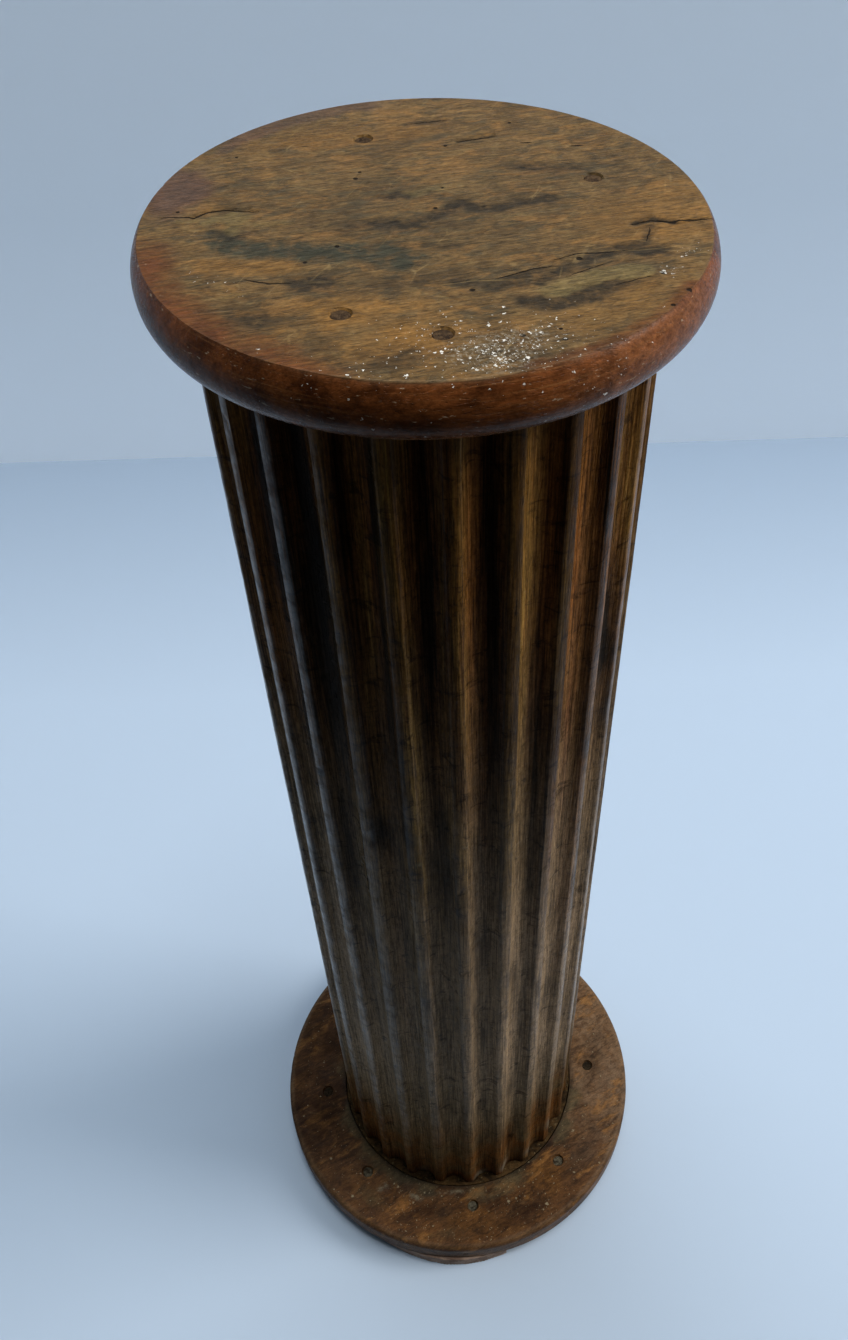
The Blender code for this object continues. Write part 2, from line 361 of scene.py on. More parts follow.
def countersink(points, height, plugs, cell, depth):
    """Press a round seat into a face for each plug, with a clean round edge."""
    for x, y, radius, _ in plugs:
        away = points[:, :2] - np.array([x, y])
        distance = np.hypot(away[:, 0], away[:, 1]) + 1e-9
        edge = radius + SEAT_PLAY
        near = np.abs(distance - edge) < 0.62 * cell
        points[near, :2] = np.array([x, y]) + away[near] * (edge / distance[near])[:, None]
        inside = (distance < edge) & ~near
        points[inside, 2] = height - depth
    return points


# %% [markdown]
# ## The top's shape
# The top was turned from one board: flat above, a sharp line where the flat ends, and a full round edge
# below it. A square grid bent into a disc keeps its cells the same size everywhere, so small dents come out
# as well near the middle as near the rim. Rings of points carry on round the edge and under it.

# %% Build the top
TOP_GRID = 248
TOP_CELL = 2.0 * TOP_ARRIS_RADIUS / TOP_GRID
EDGE_STEPS_ABOVE, EDGE_STEPS_BELOW = 9, 10
TOP_UNDER_RINGS = (0.124, 0.112)
TOP_SEAT_DEPTH = 0.0018
GRAIN_TURN = 12.0


def disc_grid(count):
    """Bend a square grid of (count + 1) by (count + 1) points into a round disc of radius 1."""
    line = np.linspace(-1.0, 1.0, count + 1)
    a, b = np.meshgrid(line, line, indexing="ij")
    wide = np.abs(a) > np.abs(b)
    safe_a, safe_b = np.where(a == 0, 1.0, a), np.where(b == 0, 1.0, b)
    radius = np.where(wide, a, b)
    turn = np.where(wide, math.pi / 4.0 * b / safe_a, math.pi / 2.0 - math.pi / 4.0 * a / safe_b)
    return (radius * np.cos(turn)).ravel(), (radius * np.sin(turn)).ravel()


def border_walk(count):
    """List the grid's border points anticlockwise."""
    side = count + 1
    walk = [i * side for i in range(count)]
    walk += [count * side + j for j in range(count)]
    walk += [i * side + count for i in range(count, 0, -1)]
    walk += [j for j in range(count, 0, -1)]
    return walk


def edge_curve(widest, end, height, steps):
    """Give (radius, rise) points from an edge's widest line to its end, as the solid's edge has them."""
    inset = widest - end
    bend = (inset * inset + height * height) / (2.0 * inset)
    whole = math.atan2(height, bend - inset)
    turns = [whole * step / steps for step in range(steps + 1)]
    return [(widest - bend + bend * math.cos(t), bend * math.sin(t)) for t in turns]


def oval(points):
    """Stretch round points to the top's slight oval."""
    angle = math.radians(TOP_OVAL_TURN)
    short = 1.0 / math.sqrt(TOP_OVAL)
    along, across = turned_axes(points, TOP_OVAL_TURN)
    along, across = along * short, across / short
    points[:, 0] = along * math.cos(angle) - across * math.sin(angle)
    points[:, 1] = along * math.sin(angle) + across * math.cos(angle)
    return points


def build_top():
    """Build the top's points, faces and painted layers."""
    flat_x, flat_y = disc_grid(TOP_GRID)
    flat = np.stack([flat_x, flat_y, np.zeros_like(flat_x)], axis=1) * TOP_ARRIS_RADIUS
    flat[:, 2] = TOP_FACE
    walk = border_walk(TOP_GRID)
    faces = []
    side = TOP_GRID + 1
    for i in range(TOP_GRID):
        for j in range(TOP_GRID):
            corner = i * side + j
            faces.append((corner, corner + side, corner + side + 1, corner + 1))
    above = edge_curve(TOP_RADIUS, TOP_ARRIS_RADIUS, TOP_WIDEST_DROP, EDGE_STEPS_ABOVE)
    widest = TOP_FACE - TOP_WIDEST_DROP
    below = edge_curve(TOP_RADIUS, TOP_UNDER_RADIUS, widest - TOP_BOTTOM, EDGE_STEPS_BELOW)
    rings = [(radius, widest + rise) for radius, rise in reversed(above[:-1])]
    rings += [(radius, widest - fall) for radius, fall in below[1:]]
    rings += [(radius, TOP_BOTTOM) for radius in TOP_UNDER_RINGS]
    border = flat[walk]
    turns = np.arctan2(border[:, 1], border[:, 0])
    parts = [flat]
    starts = []
    total = len(flat)
    for radius, height in rings:
        parts.append(from_right(radius, turns, np.full(len(turns), height)))
        starts.append(total)
        total += len(turns)
    points = np.concatenate(parts)
    count = len(walk)
    for step in range(count):
        after = (step + 1) % count
        faces.append((walk[step], starts[0] + step, starts[0] + after, walk[after]))
    for first, second in zip(starts, starts[1:]):
        faces += [face[::-1] for face in ring_faces(first, second, count)]
    faces.append([starts[-1] + step for step in reversed(range(count))])
    return oval(points), faces, len(flat)


top_points, top_faces, top_flat_count = build_top()
print("top grid cell", round(1000.0 * TOP_CELL, 2), "mm")

# %% [markdown]
# ## Marks on the top
# The marks of use on the top each have their own place: stains from pots, a filled patch, cracks that
# follow the grain, and remains of the dark varnish near the rim. A mark is a soft oval or a soft stroke
# along a few points. Each kind of mark becomes one painted layer on the mesh, from 0 to 1, which the
# material turns into colour later. The same marks also press the surface in, so the deeper ones catch the
# light.

# %% Paint the top's layers and press in its dents
HOLE_REACH = 0.0030
CRACK_REACH = 0.0040
FAR_AWAY = 1e9
FACE_SKIN = 0.0001
LOWEST_MARK = TOP_FACE - 0.006
TOP_HOLES = (
    (-0.095, 0.072, 0.0009), (-0.031, 0.049, 0.0009), (-0.033, 0.042, 0.0012), (0.013, 0.076, 0.0010),
    (0.010, 0.028, 0.0008), (0.006, 0.007, 0.0010), (-0.040, -0.027, 0.0011), (-0.054, -0.041, 0.0010),
    (0.020, -0.071, 0.0012), (-0.118, 0.013, 0.0009), (0.039, -0.109, 0.0011), (0.056, -0.113, 0.0011),
    (0.055, -0.105, 0.0008), (0.113, -0.078, 0.0012), (0.104, -0.090, 0.0010), (0.104, -0.063, 0.0009),
    (0.048, 0.102, 0.0009), (0.069, -0.047, 0.0014))
TOP_CRACKS = (
    (((-0.128, 0.0080), (-0.110, 0.0070), (-0.104, 0.0125), (-0.096, 0.0145), (-0.080, 0.0110)), 0.0006),
    (((-0.081, -0.054), (-0.069, -0.0590), (-0.058, -0.0585)), 0.0005),
    (((0.030, -0.063), (0.048, -0.0545), (0.058, -0.0530)), 0.0004),
    (((0.096, -0.0165), (0.106, -0.0125), (0.116, -0.0155), (0.127, -0.0145), (0.1365, -0.0130)), 0.0006),
    (((0.105, -0.020), (0.101, -0.034)), 0.0003),
    (((0.094, -0.0405), (0.079, -0.0425), (0.069, -0.0425), (0.057, -0.0480)), 0.0004),
    (((0.061, -0.0630), (0.083, -0.0510)), 0.0003),
    (((0.082, -0.0710), (0.099, -0.0650)), 0.0003),
    (((0.018, 0.0815), (0.039, 0.0872)), 0.0005),
    (((-0.008, 0.1050), (0.015, 0.1085)), 0.0004),
    (((0.052, 0.0760), (0.058, 0.0765)), 0.0007),
    (((0.077, 0.0700), (0.084, 0.0705)), 0.0008))


def stroke(points, path, half_wide, ragged=0.3, soft=0.5, seed=1):
    """Give 1 within half_wide of a line through the path's points on the XY plane, and 0 away from it."""
    nearest = np.full(len(points), FAR_AWAY)
    flat = points[:, :2]
    for start, end in zip(path, path[1:]):
        start, end = np.array(start), np.array(end)
        run = end - start
        part = np.clip(((flat - start) @ run) / (run @ run), 0.0, 1.0)
        gap = flat - (start + part[:, None] * run)
        nearest = np.minimum(nearest, np.hypot(gap[:, 0], gap[:, 1]))
    reach = nearest / half_wide
    reach += ragged * layered_noise(squeezed(points, 0.0), half_wide * 1.5, seed)
    return 1.0 - soft_step(1.0 - soft, 1.0 + soft, reach)


def strongest(*layers):
    """Combine marks, keeping the strongest at each point."""
    return np.clip(np.max(np.stack(layers), axis=0), 0.0, 1.0)


def grain_space(points, turn, stretch):
    """Turn points so that the grain runs along X, and squeeze them along it."""
    along, across = turned_axes(points, turn)
    return np.stack([along / stretch, across, points[:, 2]], axis=1)


def paint_holes(points, holes, lowest):
    """Paint the way to the nearest hole's middle and its radius, in millimetres, for worm_hole."""
    nearest = np.full(len(points), FAR_AWAY)
    found = {name: np.zeros(len(points)) for name in ("hole_x", "hole_y", "hole_radius")}
    for x, y, radius in holes:
        gap_x, gap_y = points[:, 0] - x, points[:, 1] - y
        gap = np.hypot(gap_x, gap_y)
        closer = gap < nearest
        nearest[closer] = gap[closer]
        size = np.where((gap < HOLE_REACH) & (points[:, 2] > lowest), radius * 1000.0, 0.0)
        for name, values in (("hole_x", gap_x * 1000.0), ("hole_y", gap_y * 1000.0), ("hole_radius", size)):
            found[name][closer] = values[closer]
    return found


def paint_cracks(points, cracks, lowest):
    """Paint the distance to the nearest crack, signed by side, and its half width, in millimetres."""
    nearest = np.full(len(points), FAR_AWAY)
    side, half_width = np.zeros(len(points)), np.zeros(len(points))
    flat = points[:, :2]
    for path, half in cracks:
        path = [np.array(spot) for spot in path]
        lengths = [np.linalg.norm(end - start) for start, end in zip(path, path[1:])]
        done = 0.0
        for start, end, length in zip(path, path[1:], lengths):
            run = end - start
            share = np.clip(((flat - start) @ run) / length ** 2, 0.0, 1.0)
            gap = flat - (start + share[:, None] * run)
            distance = np.hypot(gap[:, 0], gap[:, 1])
            across = (run[0] * (flat[:, 1] - start[1]) - run[1] * (flat[:, 0] - start[0])) / length
            along = (done + share * length) / sum(lengths)
            taper = np.sqrt(np.clip(4.0 * along * (1.0 - along), 0.0, 1.0))
            closer = distance < nearest
            nearest[closer] = distance[closer]
            side[closer] = across[closer] * 1000.0
            near = (distance < CRACK_REACH) & (points[:, 2] > lowest)
            half_width[closer] = np.where(near, half * 1000.0 * taper, 0.0)[closer]
            done += length
    return {"crack_side": side, "crack_width": half_width}


def top_layers(points):
    """Paint the stains, patches, cracks, varnish, spatter and wear of the top."""
    radius = np.hypot(points[:, 0], points[:, 1])
    azimuth = np.degrees(np.arctan2(points[:, 0], -points[:, 1]))
    angle = np.radians(azimuth - 90.0 - TOP_OVAL_TURN)
    reach = TOP_RADIUS / np.sqrt(np.cos(angle) ** 2 * TOP_OVAL + np.sin(angle) ** 2 / TOP_OVAL)
    inset = reach - radius
    arris = TOP_RADIUS - TOP_ARRIS_RADIUS
    layers = {}
    layers["stain"] = strongest(
        stroke(
            points,
            [(-0.095, -0.018), (-0.086, -0.026), (-0.071, -0.029), (-0.052, -0.031), (-0.036, -0.033)],
            0.0085, 0.7, 0.6, 11),
        stroke(points, [(-0.036, -0.031), (-0.020, -0.036), (-0.009, -0.043)], 0.0105, 0.7, 0.6, 12),
        0.8 * stroke(points, [(-0.100, -0.012), (-0.092, -0.018)], 0.007, 0.7, 0.6, 13),
        0.22 * soft_spot(points, (-0.005, 0.004), 0.0800, 0.0420, 10.0, 0.9, 0.9, 14))
    layers["dark"] = strongest(
        0.85 * stroke(
            points,
            [(-0.024, -0.006), (-0.008, -0.011), (0.004, -0.002), (0.018, 0.010), (0.027, 0.003),
             (0.038, 0.006), (0.060, 0.013)],
            0.0042, 0.8, 0.8, 21),
        0.55 * stroke(points, [(-0.034, -0.005), (-0.020, -0.008)], 0.0060, 0.8, 0.8, 22),
        0.9 * soft_spot(points, (-0.048, -0.058), 0.0150, 0.0065, 4.0, 0.8, 0.7, 23),
        0.45 * soft_spot(points, (-0.012, -0.062), 0.0300, 0.0070, 10.0, 0.8, 0.8, 24),
        0.95 * soft_spot(points, (0.101, -0.043), 0.0085, 0.0052, 8.0, 0.6, 0.5, 25),
        0.8 * stroke(
            points, [(0.042, -0.082), (0.055, -0.085), (0.069, -0.078), (0.082, -0.071)],
            0.0062, 0.7, 0.7, 26),
        0.7 * stroke(
            points, [(0.098, -0.036), (0.079, -0.044), (0.066, -0.052), (0.050, -0.066)],
            0.0034, 0.8, 0.7, 27),
        0.6 * stroke(points, [(0.014, -0.062), (0.032, -0.068), (0.052, -0.058)], 0.0048, 0.8, 0.8, 28),
        0.9 * stroke(points, [(0.098, -0.016), (0.106, -0.0125), (0.116, -0.0155)], 0.0024, 0.6, 0.6, 29),
        0.55 * stroke(points, [(0.105, -0.020), (0.101, -0.034)], 0.0022, 0.8, 0.7, 30),
        0.75 * soft_spot(points, (-0.012, 0.0215), 0.0090, 0.0036, 6.0, 0.7, 0.6, 31),
        0.6 * stroke(points, [(0.020, 0.082), (0.038, 0.087)], 0.0022, 0.6, 0.7, 32),
        0.5 * stroke(points, [(-0.007, 0.105), (0.014, 0.108)], 0.0020, 0.6, 0.7, 33),
        0.6 * stroke(points, [(0.048, 0.049), (0.064, 0.046), (0.076, 0.045)], 0.0045, 0.9, 0.9, 34),
        0.6 * soft_spot(points, (-0.074, -0.088), 0.0130, 0.0065, -20.0, 0.8, 0.8, 35),
        0.5 * soft_spot(points, (-0.072, 0.081), 0.0065, 0.0030, 10.0, 0.7, 0.8, 36),
        0.55 * soft_spot(points, (-0.088, -0.011), 0.0120, 0.0050, -10.0, 0.9, 0.8, 37),
        0.4 * soft_spot(points, (0.010, -0.030), 0.0120, 0.0050, 12.0, 0.9, 0.9, 38),
        0.4 * soft_spot(points, (0.038, -0.020), 0.0080, 0.0045, 12.0, 0.9, 0.9, 39),
        0.30 * soft_spot(points, (0.030, -0.118), 0.0220, 0.0135, 14.0, 0.8, 0.7, 40),
        0.5 * soft_spot(points, (-0.010, -0.122), 0.0160, 0.0070, 8.0, 0.8, 0.8, 41))
    layers["pale"] = strongest(
        stroke(
            points, [(0.053, -0.0735), (0.066, -0.067), (0.080, -0.061), (0.095, -0.0605)],
            0.0058, 0.5, 0.35, 51),
        0.9 * stroke(points, [(-0.101, 0.0035), (-0.086, 0.0045)], 0.0055, 0.8, 0.4, 52),
        0.9 * stroke(points, [(-0.088, 0.002), (-0.090, -0.007)], 0.0042, 0.8, 0.4, 53),
        0.6 * stroke(points, [(-0.117, 0.003), (-0.104, 0.003)], 0.0018, 0.8, 0.5, 54),
        0.6 * stroke(points, [(-0.078, -0.002), (-0.065, -0.002)], 0.0024, 0.9, 0.6, 55),
        0.55 * soft_spot(points, (0.003, 0.027), 0.0100, 0.0040, 16.0, 0.9, 0.7, 56),
        0.5 * stroke(points, [(-0.088, -0.070), (-0.080, -0.067)], 0.0020, 0.9, 0.6, 57))
    warm = strongest(
        0.9 * soft_spot(points, (-0.004, -0.110), 0.0260, 0.0125, 12.0, 0.7, 0.8, 61),
        0.8 * soft_spot(points, (-0.037, -0.087), 0.0170, 0.0100, 10.0, 0.7, 0.8, 62),
        0.7 * soft_spot(points, (-0.077, -0.043), 0.0210, 0.0065, -2.0, 0.7, 0.8, 63),
        0.7 * soft_spot(points, (-0.016, -0.082), 0.0160, 0.0050, 6.0, 0.7, 0.8, 64),
        0.6 * soft_spot(points, (0.110, -0.012), 0.0300, 0.0240, 5.0, 0.8, 0.9, 65),
        0.45 * soft_spot(points, (0.085, -0.085), 0.0300, 0.0130, 35.0, 0.8, 0.9, 66),
        0.45 * soft_spot(points, (-0.040, 0.092), 0.0500, 0.0110, 8.0, 0.8, 0.9, 67))
    layers["warm"] = warm * (1.0 - layers["stain"])
    edge = (points[:, 2] < TOP_FACE - FACE_SKIN).astype(float)
    left_rest = soft_spot(points, (-0.124, 0.032), 0.0260, 0.0170, 78.0, 0.5, 0.5, 71)
    back_band = (
        soft_step(0.021, 0.014, inset + 0.004 * layered_noise(points, 0.012, 72))
        * soft_step(-0.112, -0.098, points[:, 0]) * soft_step(-0.010, -0.030, points[:, 0])
        * (points[:, 1] > 0))
    front_band = (
        soft_step(0.017, 0.006, inset + 0.005 * layered_noise(points, 0.014, 73))
        * soft_step(0.020, 0.050, points[:, 0]) * (points[:, 1] < -0.07))
    left_band = (
        0.55 * soft_step(0.034, 0.004, inset + 0.008 * layered_noise(points, 0.020, 74))
        * soft_step(0.000, -0.060, points[:, 0]) * soft_step(0.010, -0.035, points[:, 1]))
    layers["varnish"] = strongest(edge, 0.52 * left_rest, 0.34 * back_band, 0.50 * front_band, left_band)
    spatter = strongest(
        1.0 * soft_spot(points, (0.030, -0.119), 0.0200, 0.0135, 14.0, 0.5, 0.6, 81),
        0.30 * soft_spot(points, (0.030, -0.116), 0.0420, 0.0230, 10.0, 0.4, 0.8, 82),
        0.06 * soft_step(0.022, 0.004, inset) * soft_step(-0.11, -0.05, points[:, 0])
        * soft_step(0.11, 0.05, points[:, 0]) * (points[:, 1] < 0),
        0.40 * soft_spot(points, (0.107, -0.060), 0.0080, 0.0050, 20.0, 0.5, 0.7, 83),
        0.25 * soft_spot(points, (0.118, -0.044), 0.0100, 0.0040, 30.0, 0.5, 0.7, 84),
        0.13 * soft_spot(points, (-0.092, -0.055), 0.0180, 0.0050, -35.0, 0.5, 0.7, 85),
        0.45 * soft_spot(points, (0.002, -0.105), 0.0050, 0.0040, 0.0, 0.5, 0.7, 86))
    layers["spatter"] = spatter * np.where(edge > 0, 0.45, 1.0)
    # Painted highlight: the rim's front right, on the lamp's side, is painted lighter and redder.
    layers["rim_highlight"] = edge * soft_step(14.0, 38.0, azimuth) * soft_step(74.0, 52.0, azimuth)
    # Painted reflection: the left rest and the back band are greyed as reflected light greys them.
    layers["grey_reflection"] = strongest(left_rest, 0.85 * back_band)
    line = np.exp(-(((inset - arris) / 0.0008) ** 2))
    broken = soft_step(-0.5, 0.5, layered_noise(points, 0.012, 91))
    at_front = soft_step(0.10, 0.03, np.abs(points[:, 0] - 0.015)) * (points[:, 1] < 0)
    layers["wear"] = line * (0.10 + 0.90 * at_front) * (0.25 + 0.75 * broken)
    layers.update(paint_holes(points, TOP_HOLES, LOWEST_MARK))
    layers.update(paint_cracks(points, TOP_CRACKS, LOWEST_MARK))
    return layers, inset, arris


def relief_top(points, layers, inset, arris):
    """Press in dents, patches and cracks, let the face wander a little, and chip the sharp line."""
    upper = points[:, 2] > TOP_FACE - FACE_SKIN
    drop = (
        0.00018 * layered_noise(points, 0.055, 101)
        + 0.00008 * layered_noise(grain_space(points, GRAIN_TURN, 5.0), 0.006, 103))
    drop -= 0.00020
    drop -= (
        0.00035 * layers["dark"]
        + 0.00025 * layers["stain"] * (0.5 + 0.5 * layered_noise(points, 0.003, 105)))
    right_crack = [
        (0.098, -0.016), (0.106, -0.0125), (0.114, -0.015), (0.119, -0.018), (0.127, -0.0145),
        (0.137, -0.013)]
    left_crack = [(-0.110, 0.007), (-0.104, 0.0125), (-0.096, 0.0145), (-0.080, 0.011)]
    drop -= 0.00060 * stroke(points, right_crack, 0.0013, 0.3, 0.6, 106)
    drop -= 0.00070 * stroke(points, left_crack, 0.0014, 0.3, 0.6, 107)
    drop -= 0.00060 * stroke(points, [(0.020, 0.082), (0.038, 0.087)], 0.0018, 0.3, 0.6, 108)
    drop += 0.00020 * layers["pale"]
    points[upper, 2] += np.minimum(drop[upper], 0.0)
    chips = (
        soft_step(0.45, 0.85, layered_noise(points, 0.010, 111))
        + soft_step(0.55, 0.8, layered_noise(points, 0.004, 113)))
    near_line = np.exp(-(((inset - arris) / 0.0025) ** 2)) * (points[:, 2] > TOP_FACE - 0.004)
    inward = 0.00012 * (1.0 + layered_noise(points, 0.020, 115)) + 0.0007 * chips * near_line
    inward += ~upper * 0.0003 * soft_step(0.5, 0.9, layered_noise(points, 0.008, 117))
    radius = np.hypot(points[:, 0], points[:, 1]) + 1e-9
    edge_zone = inset < arris + 0.003
    shrink = np.where(edge_zone, 1.0 - inward / radius, 1.0)
    points[:, 0] *= shrink
    points[:, 1] *= shrink
    return points


top_paint, top_inset, top_arris = top_layers(top_points)
top_points = relief_top(top_points, top_paint, top_inset, top_arris)
top_points[:top_flat_count] = countersink(
    top_points[:top_flat_count], TOP_FACE, TOP_PLUGS, TOP_CELL, TOP_SEAT_DEPTH)
worn_top = add_piece("worn_top", top_points, top_faces, "top_disc", top_paint)

# %% [markdown]
# ## The shaft's shape
# The flutes were cut by hand from end to end, with flat fillets left between them. A section with a few
# points on each fillet and more in each flute is repeated up the height. The fillet's edges wander by half
# a millimetre and are rounded by wear, the flutes vary in depth, and nicks and dents sit where the real
# ones do.

# %% Build the shaft
SHAFT_ROWS = 290
FILLET_OFFSETS = (-0.50, -0.43, 0.0, 0.43, 0.50)
FILLET_DROPS = (0.00055, 0.00012, 0.0, 0.00012, 0.00055)
FLUTE_POINTS = 8
GOLD_MARKS = (
    (-9.0, 0.680, 2.2, 0.140, 1.0), (-11.5, 0.560, 1.8, 0.070, 0.7), (-12.0, 0.900, 2.2, 0.060, 0.7),
    (5.0, 0.620, 1.8, 0.050, 0.7), (6.5, 0.850, 2.4, 0.120, 0.5), (20.0, 0.640, 1.8, 0.090, 0.9),
    (22.5, 0.860, 2.4, 0.110, 0.9), (25.5, 0.880, 1.8, 0.080, 0.7), (17.5, 0.900, 1.2, 0.080, 0.7),
    (34.0, 0.860, 1.8, 0.080, 0.6), (56.0, 0.900, 4.0, 0.050, 1.0), (62.0, 0.880, 2.0, 0.050, 0.9),
    (54.0, 0.560, 3.0, 0.200, 0.5), (-19.0, 0.860, 1.6, 0.080, 0.5), (-27.0, 0.860, 2.0, 0.080, 0.45),
    (-24.0, 0.560, 1.5, 0.050, 0.5), (0.5, 0.660, 1.6, 0.040, 0.5), (-4.0, 0.560, 2.0, 0.060, 0.4),
    (26.0, 0.600, 2.0, 0.100, 0.4), (-60.0, 0.850, 3.0, 0.080, 0.4))
RED_MARKS = (
    (39.0, 0.860, 3.2, 0.110, 1.0), (42.5, 0.720, 2.6, 0.110, 0.9), (36.0, 0.640, 2.0, 0.090, 0.6),
    (8.0, 0.860, 2.2, 0.090, 0.8), (-7.0, 0.880, 2.0, 0.060, 0.6), (-17.0, 0.900, 1.6, 0.060, 0.6),
    (30.0, 0.840, 1.8, 0.090, 0.6), (12.0, 0.720, 2.0, 0.100, 0.4), (46.0, 0.560, 3.0, 0.120, 0.5),
    (-52.0, 0.840, 3.0, 0.090, 0.5), (-20.0, 0.440, 2.0, 0.120, 0.4), (-46.0, 0.600, 2.0, 0.100, 0.3))
BLACK_MARKS = (
    (25.5, 0.108, 1.6, 0.016, 1.0), (-41.0, 0.690, 1.4, 0.0035, 0.9), (59.0, 0.760, 4.0, 0.045, 0.9),
    (62.0, 0.700, 2.6, 0.020, 0.8), (-33.5, 0.830, 4.2, 0.160, 1.0), (-36.0, 0.620, 2.6, 0.060, 0.8),
    (-49.0, 0.880, 4.0, 0.090, 0.9), (-47.0, 0.720, 2.6, 0.080, 0.7), (-22.5, 0.900, 1.6, 0.080, 0.8),
    (-14.6, 0.860, 1.1, 0.110, 0.9), (-3.0, 0.860, 2.4, 0.120, 0.9), (-1.0, 0.620, 2.0, 0.080, 0.7),
    (14.0, 0.800, 2.2, 0.170, 0.9), (12.0, 0.510, 2.8, 0.030, 0.9), (29.0, 0.700, 1.6, 0.160, 0.7),
    (31.5, 0.900, 1.0, 0.080, 0.6), (45.8, 0.820, 0.9, 0.140, 0.6), (-22.0, 0.645, 3.4, 0.018, 1.0),
    (-12.5, 0.650, 1.6, 0.012, 0.7), (-55.0, 0.560, 2.4, 0.030, 0.8), (-33.0, 0.490, 2.0, 0.014, 0.8),
    (22.0, 0.450, 2.2, 0.010, 0.8), (19.5, 0.392, 1.8, 0.006, 0.8), (-10.0, 0.430, 2.0, 0.008, 0.6),
    (49.5, 0.690, 1.4, 0.010, 0.7), (12.0, 0.360, 3.0, 0.012, 0.5), (11.0, 0.220, 2.6, 0.016, 0.6),
    (24.0, 0.230, 3.0, 0.012, 0.6), (-44.0, 0.865, 3.0, 0.012, 0.5), (-4.0, 0.600, 3.0, 0.050, 0.5),
    (0.5, 0.400, 1.0, 0.060, 0.6), (2.0, 0.250, 0.9, 0.080, 0.5))


def shaft_section():
    """Give one turn of the shaft's section: azimuth, radius and how much each point lies on a fillet."""
    pitch = 360.0 / FLUTE_COUNT
    half_fillet = math.degrees(math.asin(FILLET_WIDTH / 2.0 / SHAFT_RADIUS))
    half_flute = math.radians(pitch / 2.0 - half_fillet)
    half_chord = SHAFT_RADIUS * math.sin(half_flute)
    chord_out = SHAFT_RADIUS * math.cos(half_flute)
    bend = (half_chord ** 2 + FLUTE_DEPTH ** 2) / (2.0 * FLUTE_DEPTH)
    half_sweep = math.asin(half_chord / bend)
    fillet_out = math.sqrt(SHAFT_RADIUS ** 2 - (FILLET_WIDTH / 2.0) ** 2)
    azimuth, radius, on_fillet, side = [], [], [], []
    for flute in range(FLUTE_COUNT):
        middle = FLUTE_TURN + pitch * flute
        for offset, drop in zip(FILLET_OFFSETS, FILLET_DROPS):
            sideways = offset * FILLET_WIDTH
            azimuth.append(middle + math.degrees(math.atan2(sideways, fillet_out - drop)))
            radius.append(math.hypot(sideways, fillet_out - drop))
            on_fillet.append(1.0)
            side.append(2 * flute + (1 if offset > 0 else 0))
        for step in range(1, FLUTE_POINTS + 1):
            sweep = half_sweep * (2.0 * step / (FLUTE_POINTS + 1) - 1.0)
            sideways = bend * math.sin(sweep)
            reach = chord_out - (bend * math.cos(sweep) - (bend - FLUTE_DEPTH))
            azimuth.append(middle + pitch / 2.0 + math.degrees(math.atan2(sideways, reach)))
            radius.append(math.hypot(sideways, reach))
            on_fillet.append(0.0)
            side.append(2 * flute + (1 if step <= FLUTE_POINTS // 2 else 2))
    return np.array(azimuth), np.array(radius), np.array(on_fillet), np.array(side) % (2 * FLUTE_COUNT)


def signed(azimuth):
    """Bring an azimuth in degrees between -180 and 180."""
    return (azimuth + 180.0) % 360.0 - 180.0


def bump_at(azimuth, height, place, wide, high):
    """Give a soft bump of height 1 at (azimuth, height) on the shaft; wide is in degrees, high in metres."""
    turn = signed(azimuth - place[0])
    return np.exp(-((turn / wide) ** 2) - ((height - place[1]) / high) ** 2)


def paint_marks(azimuth, height, marks):
    """Combine soft marks, each given as azimuth, height, half width in degrees, half height and strength."""
    painted = np.zeros(len(azimuth))
    ragged = (
        1.0 + 0.5 * layered_noise(np.stack([azimuth / 1.6, height * 0.0, height / 0.030], axis=1), 1.0, 231))
    for place_azimuth, place_height, wide, high, strength in marks:
        painted = np.maximum(
            painted, strength * bump_at(azimuth, height, (place_azimuth, place_height), wide, high))
    return np.clip(painted * ragged, 0.0, 1.0)


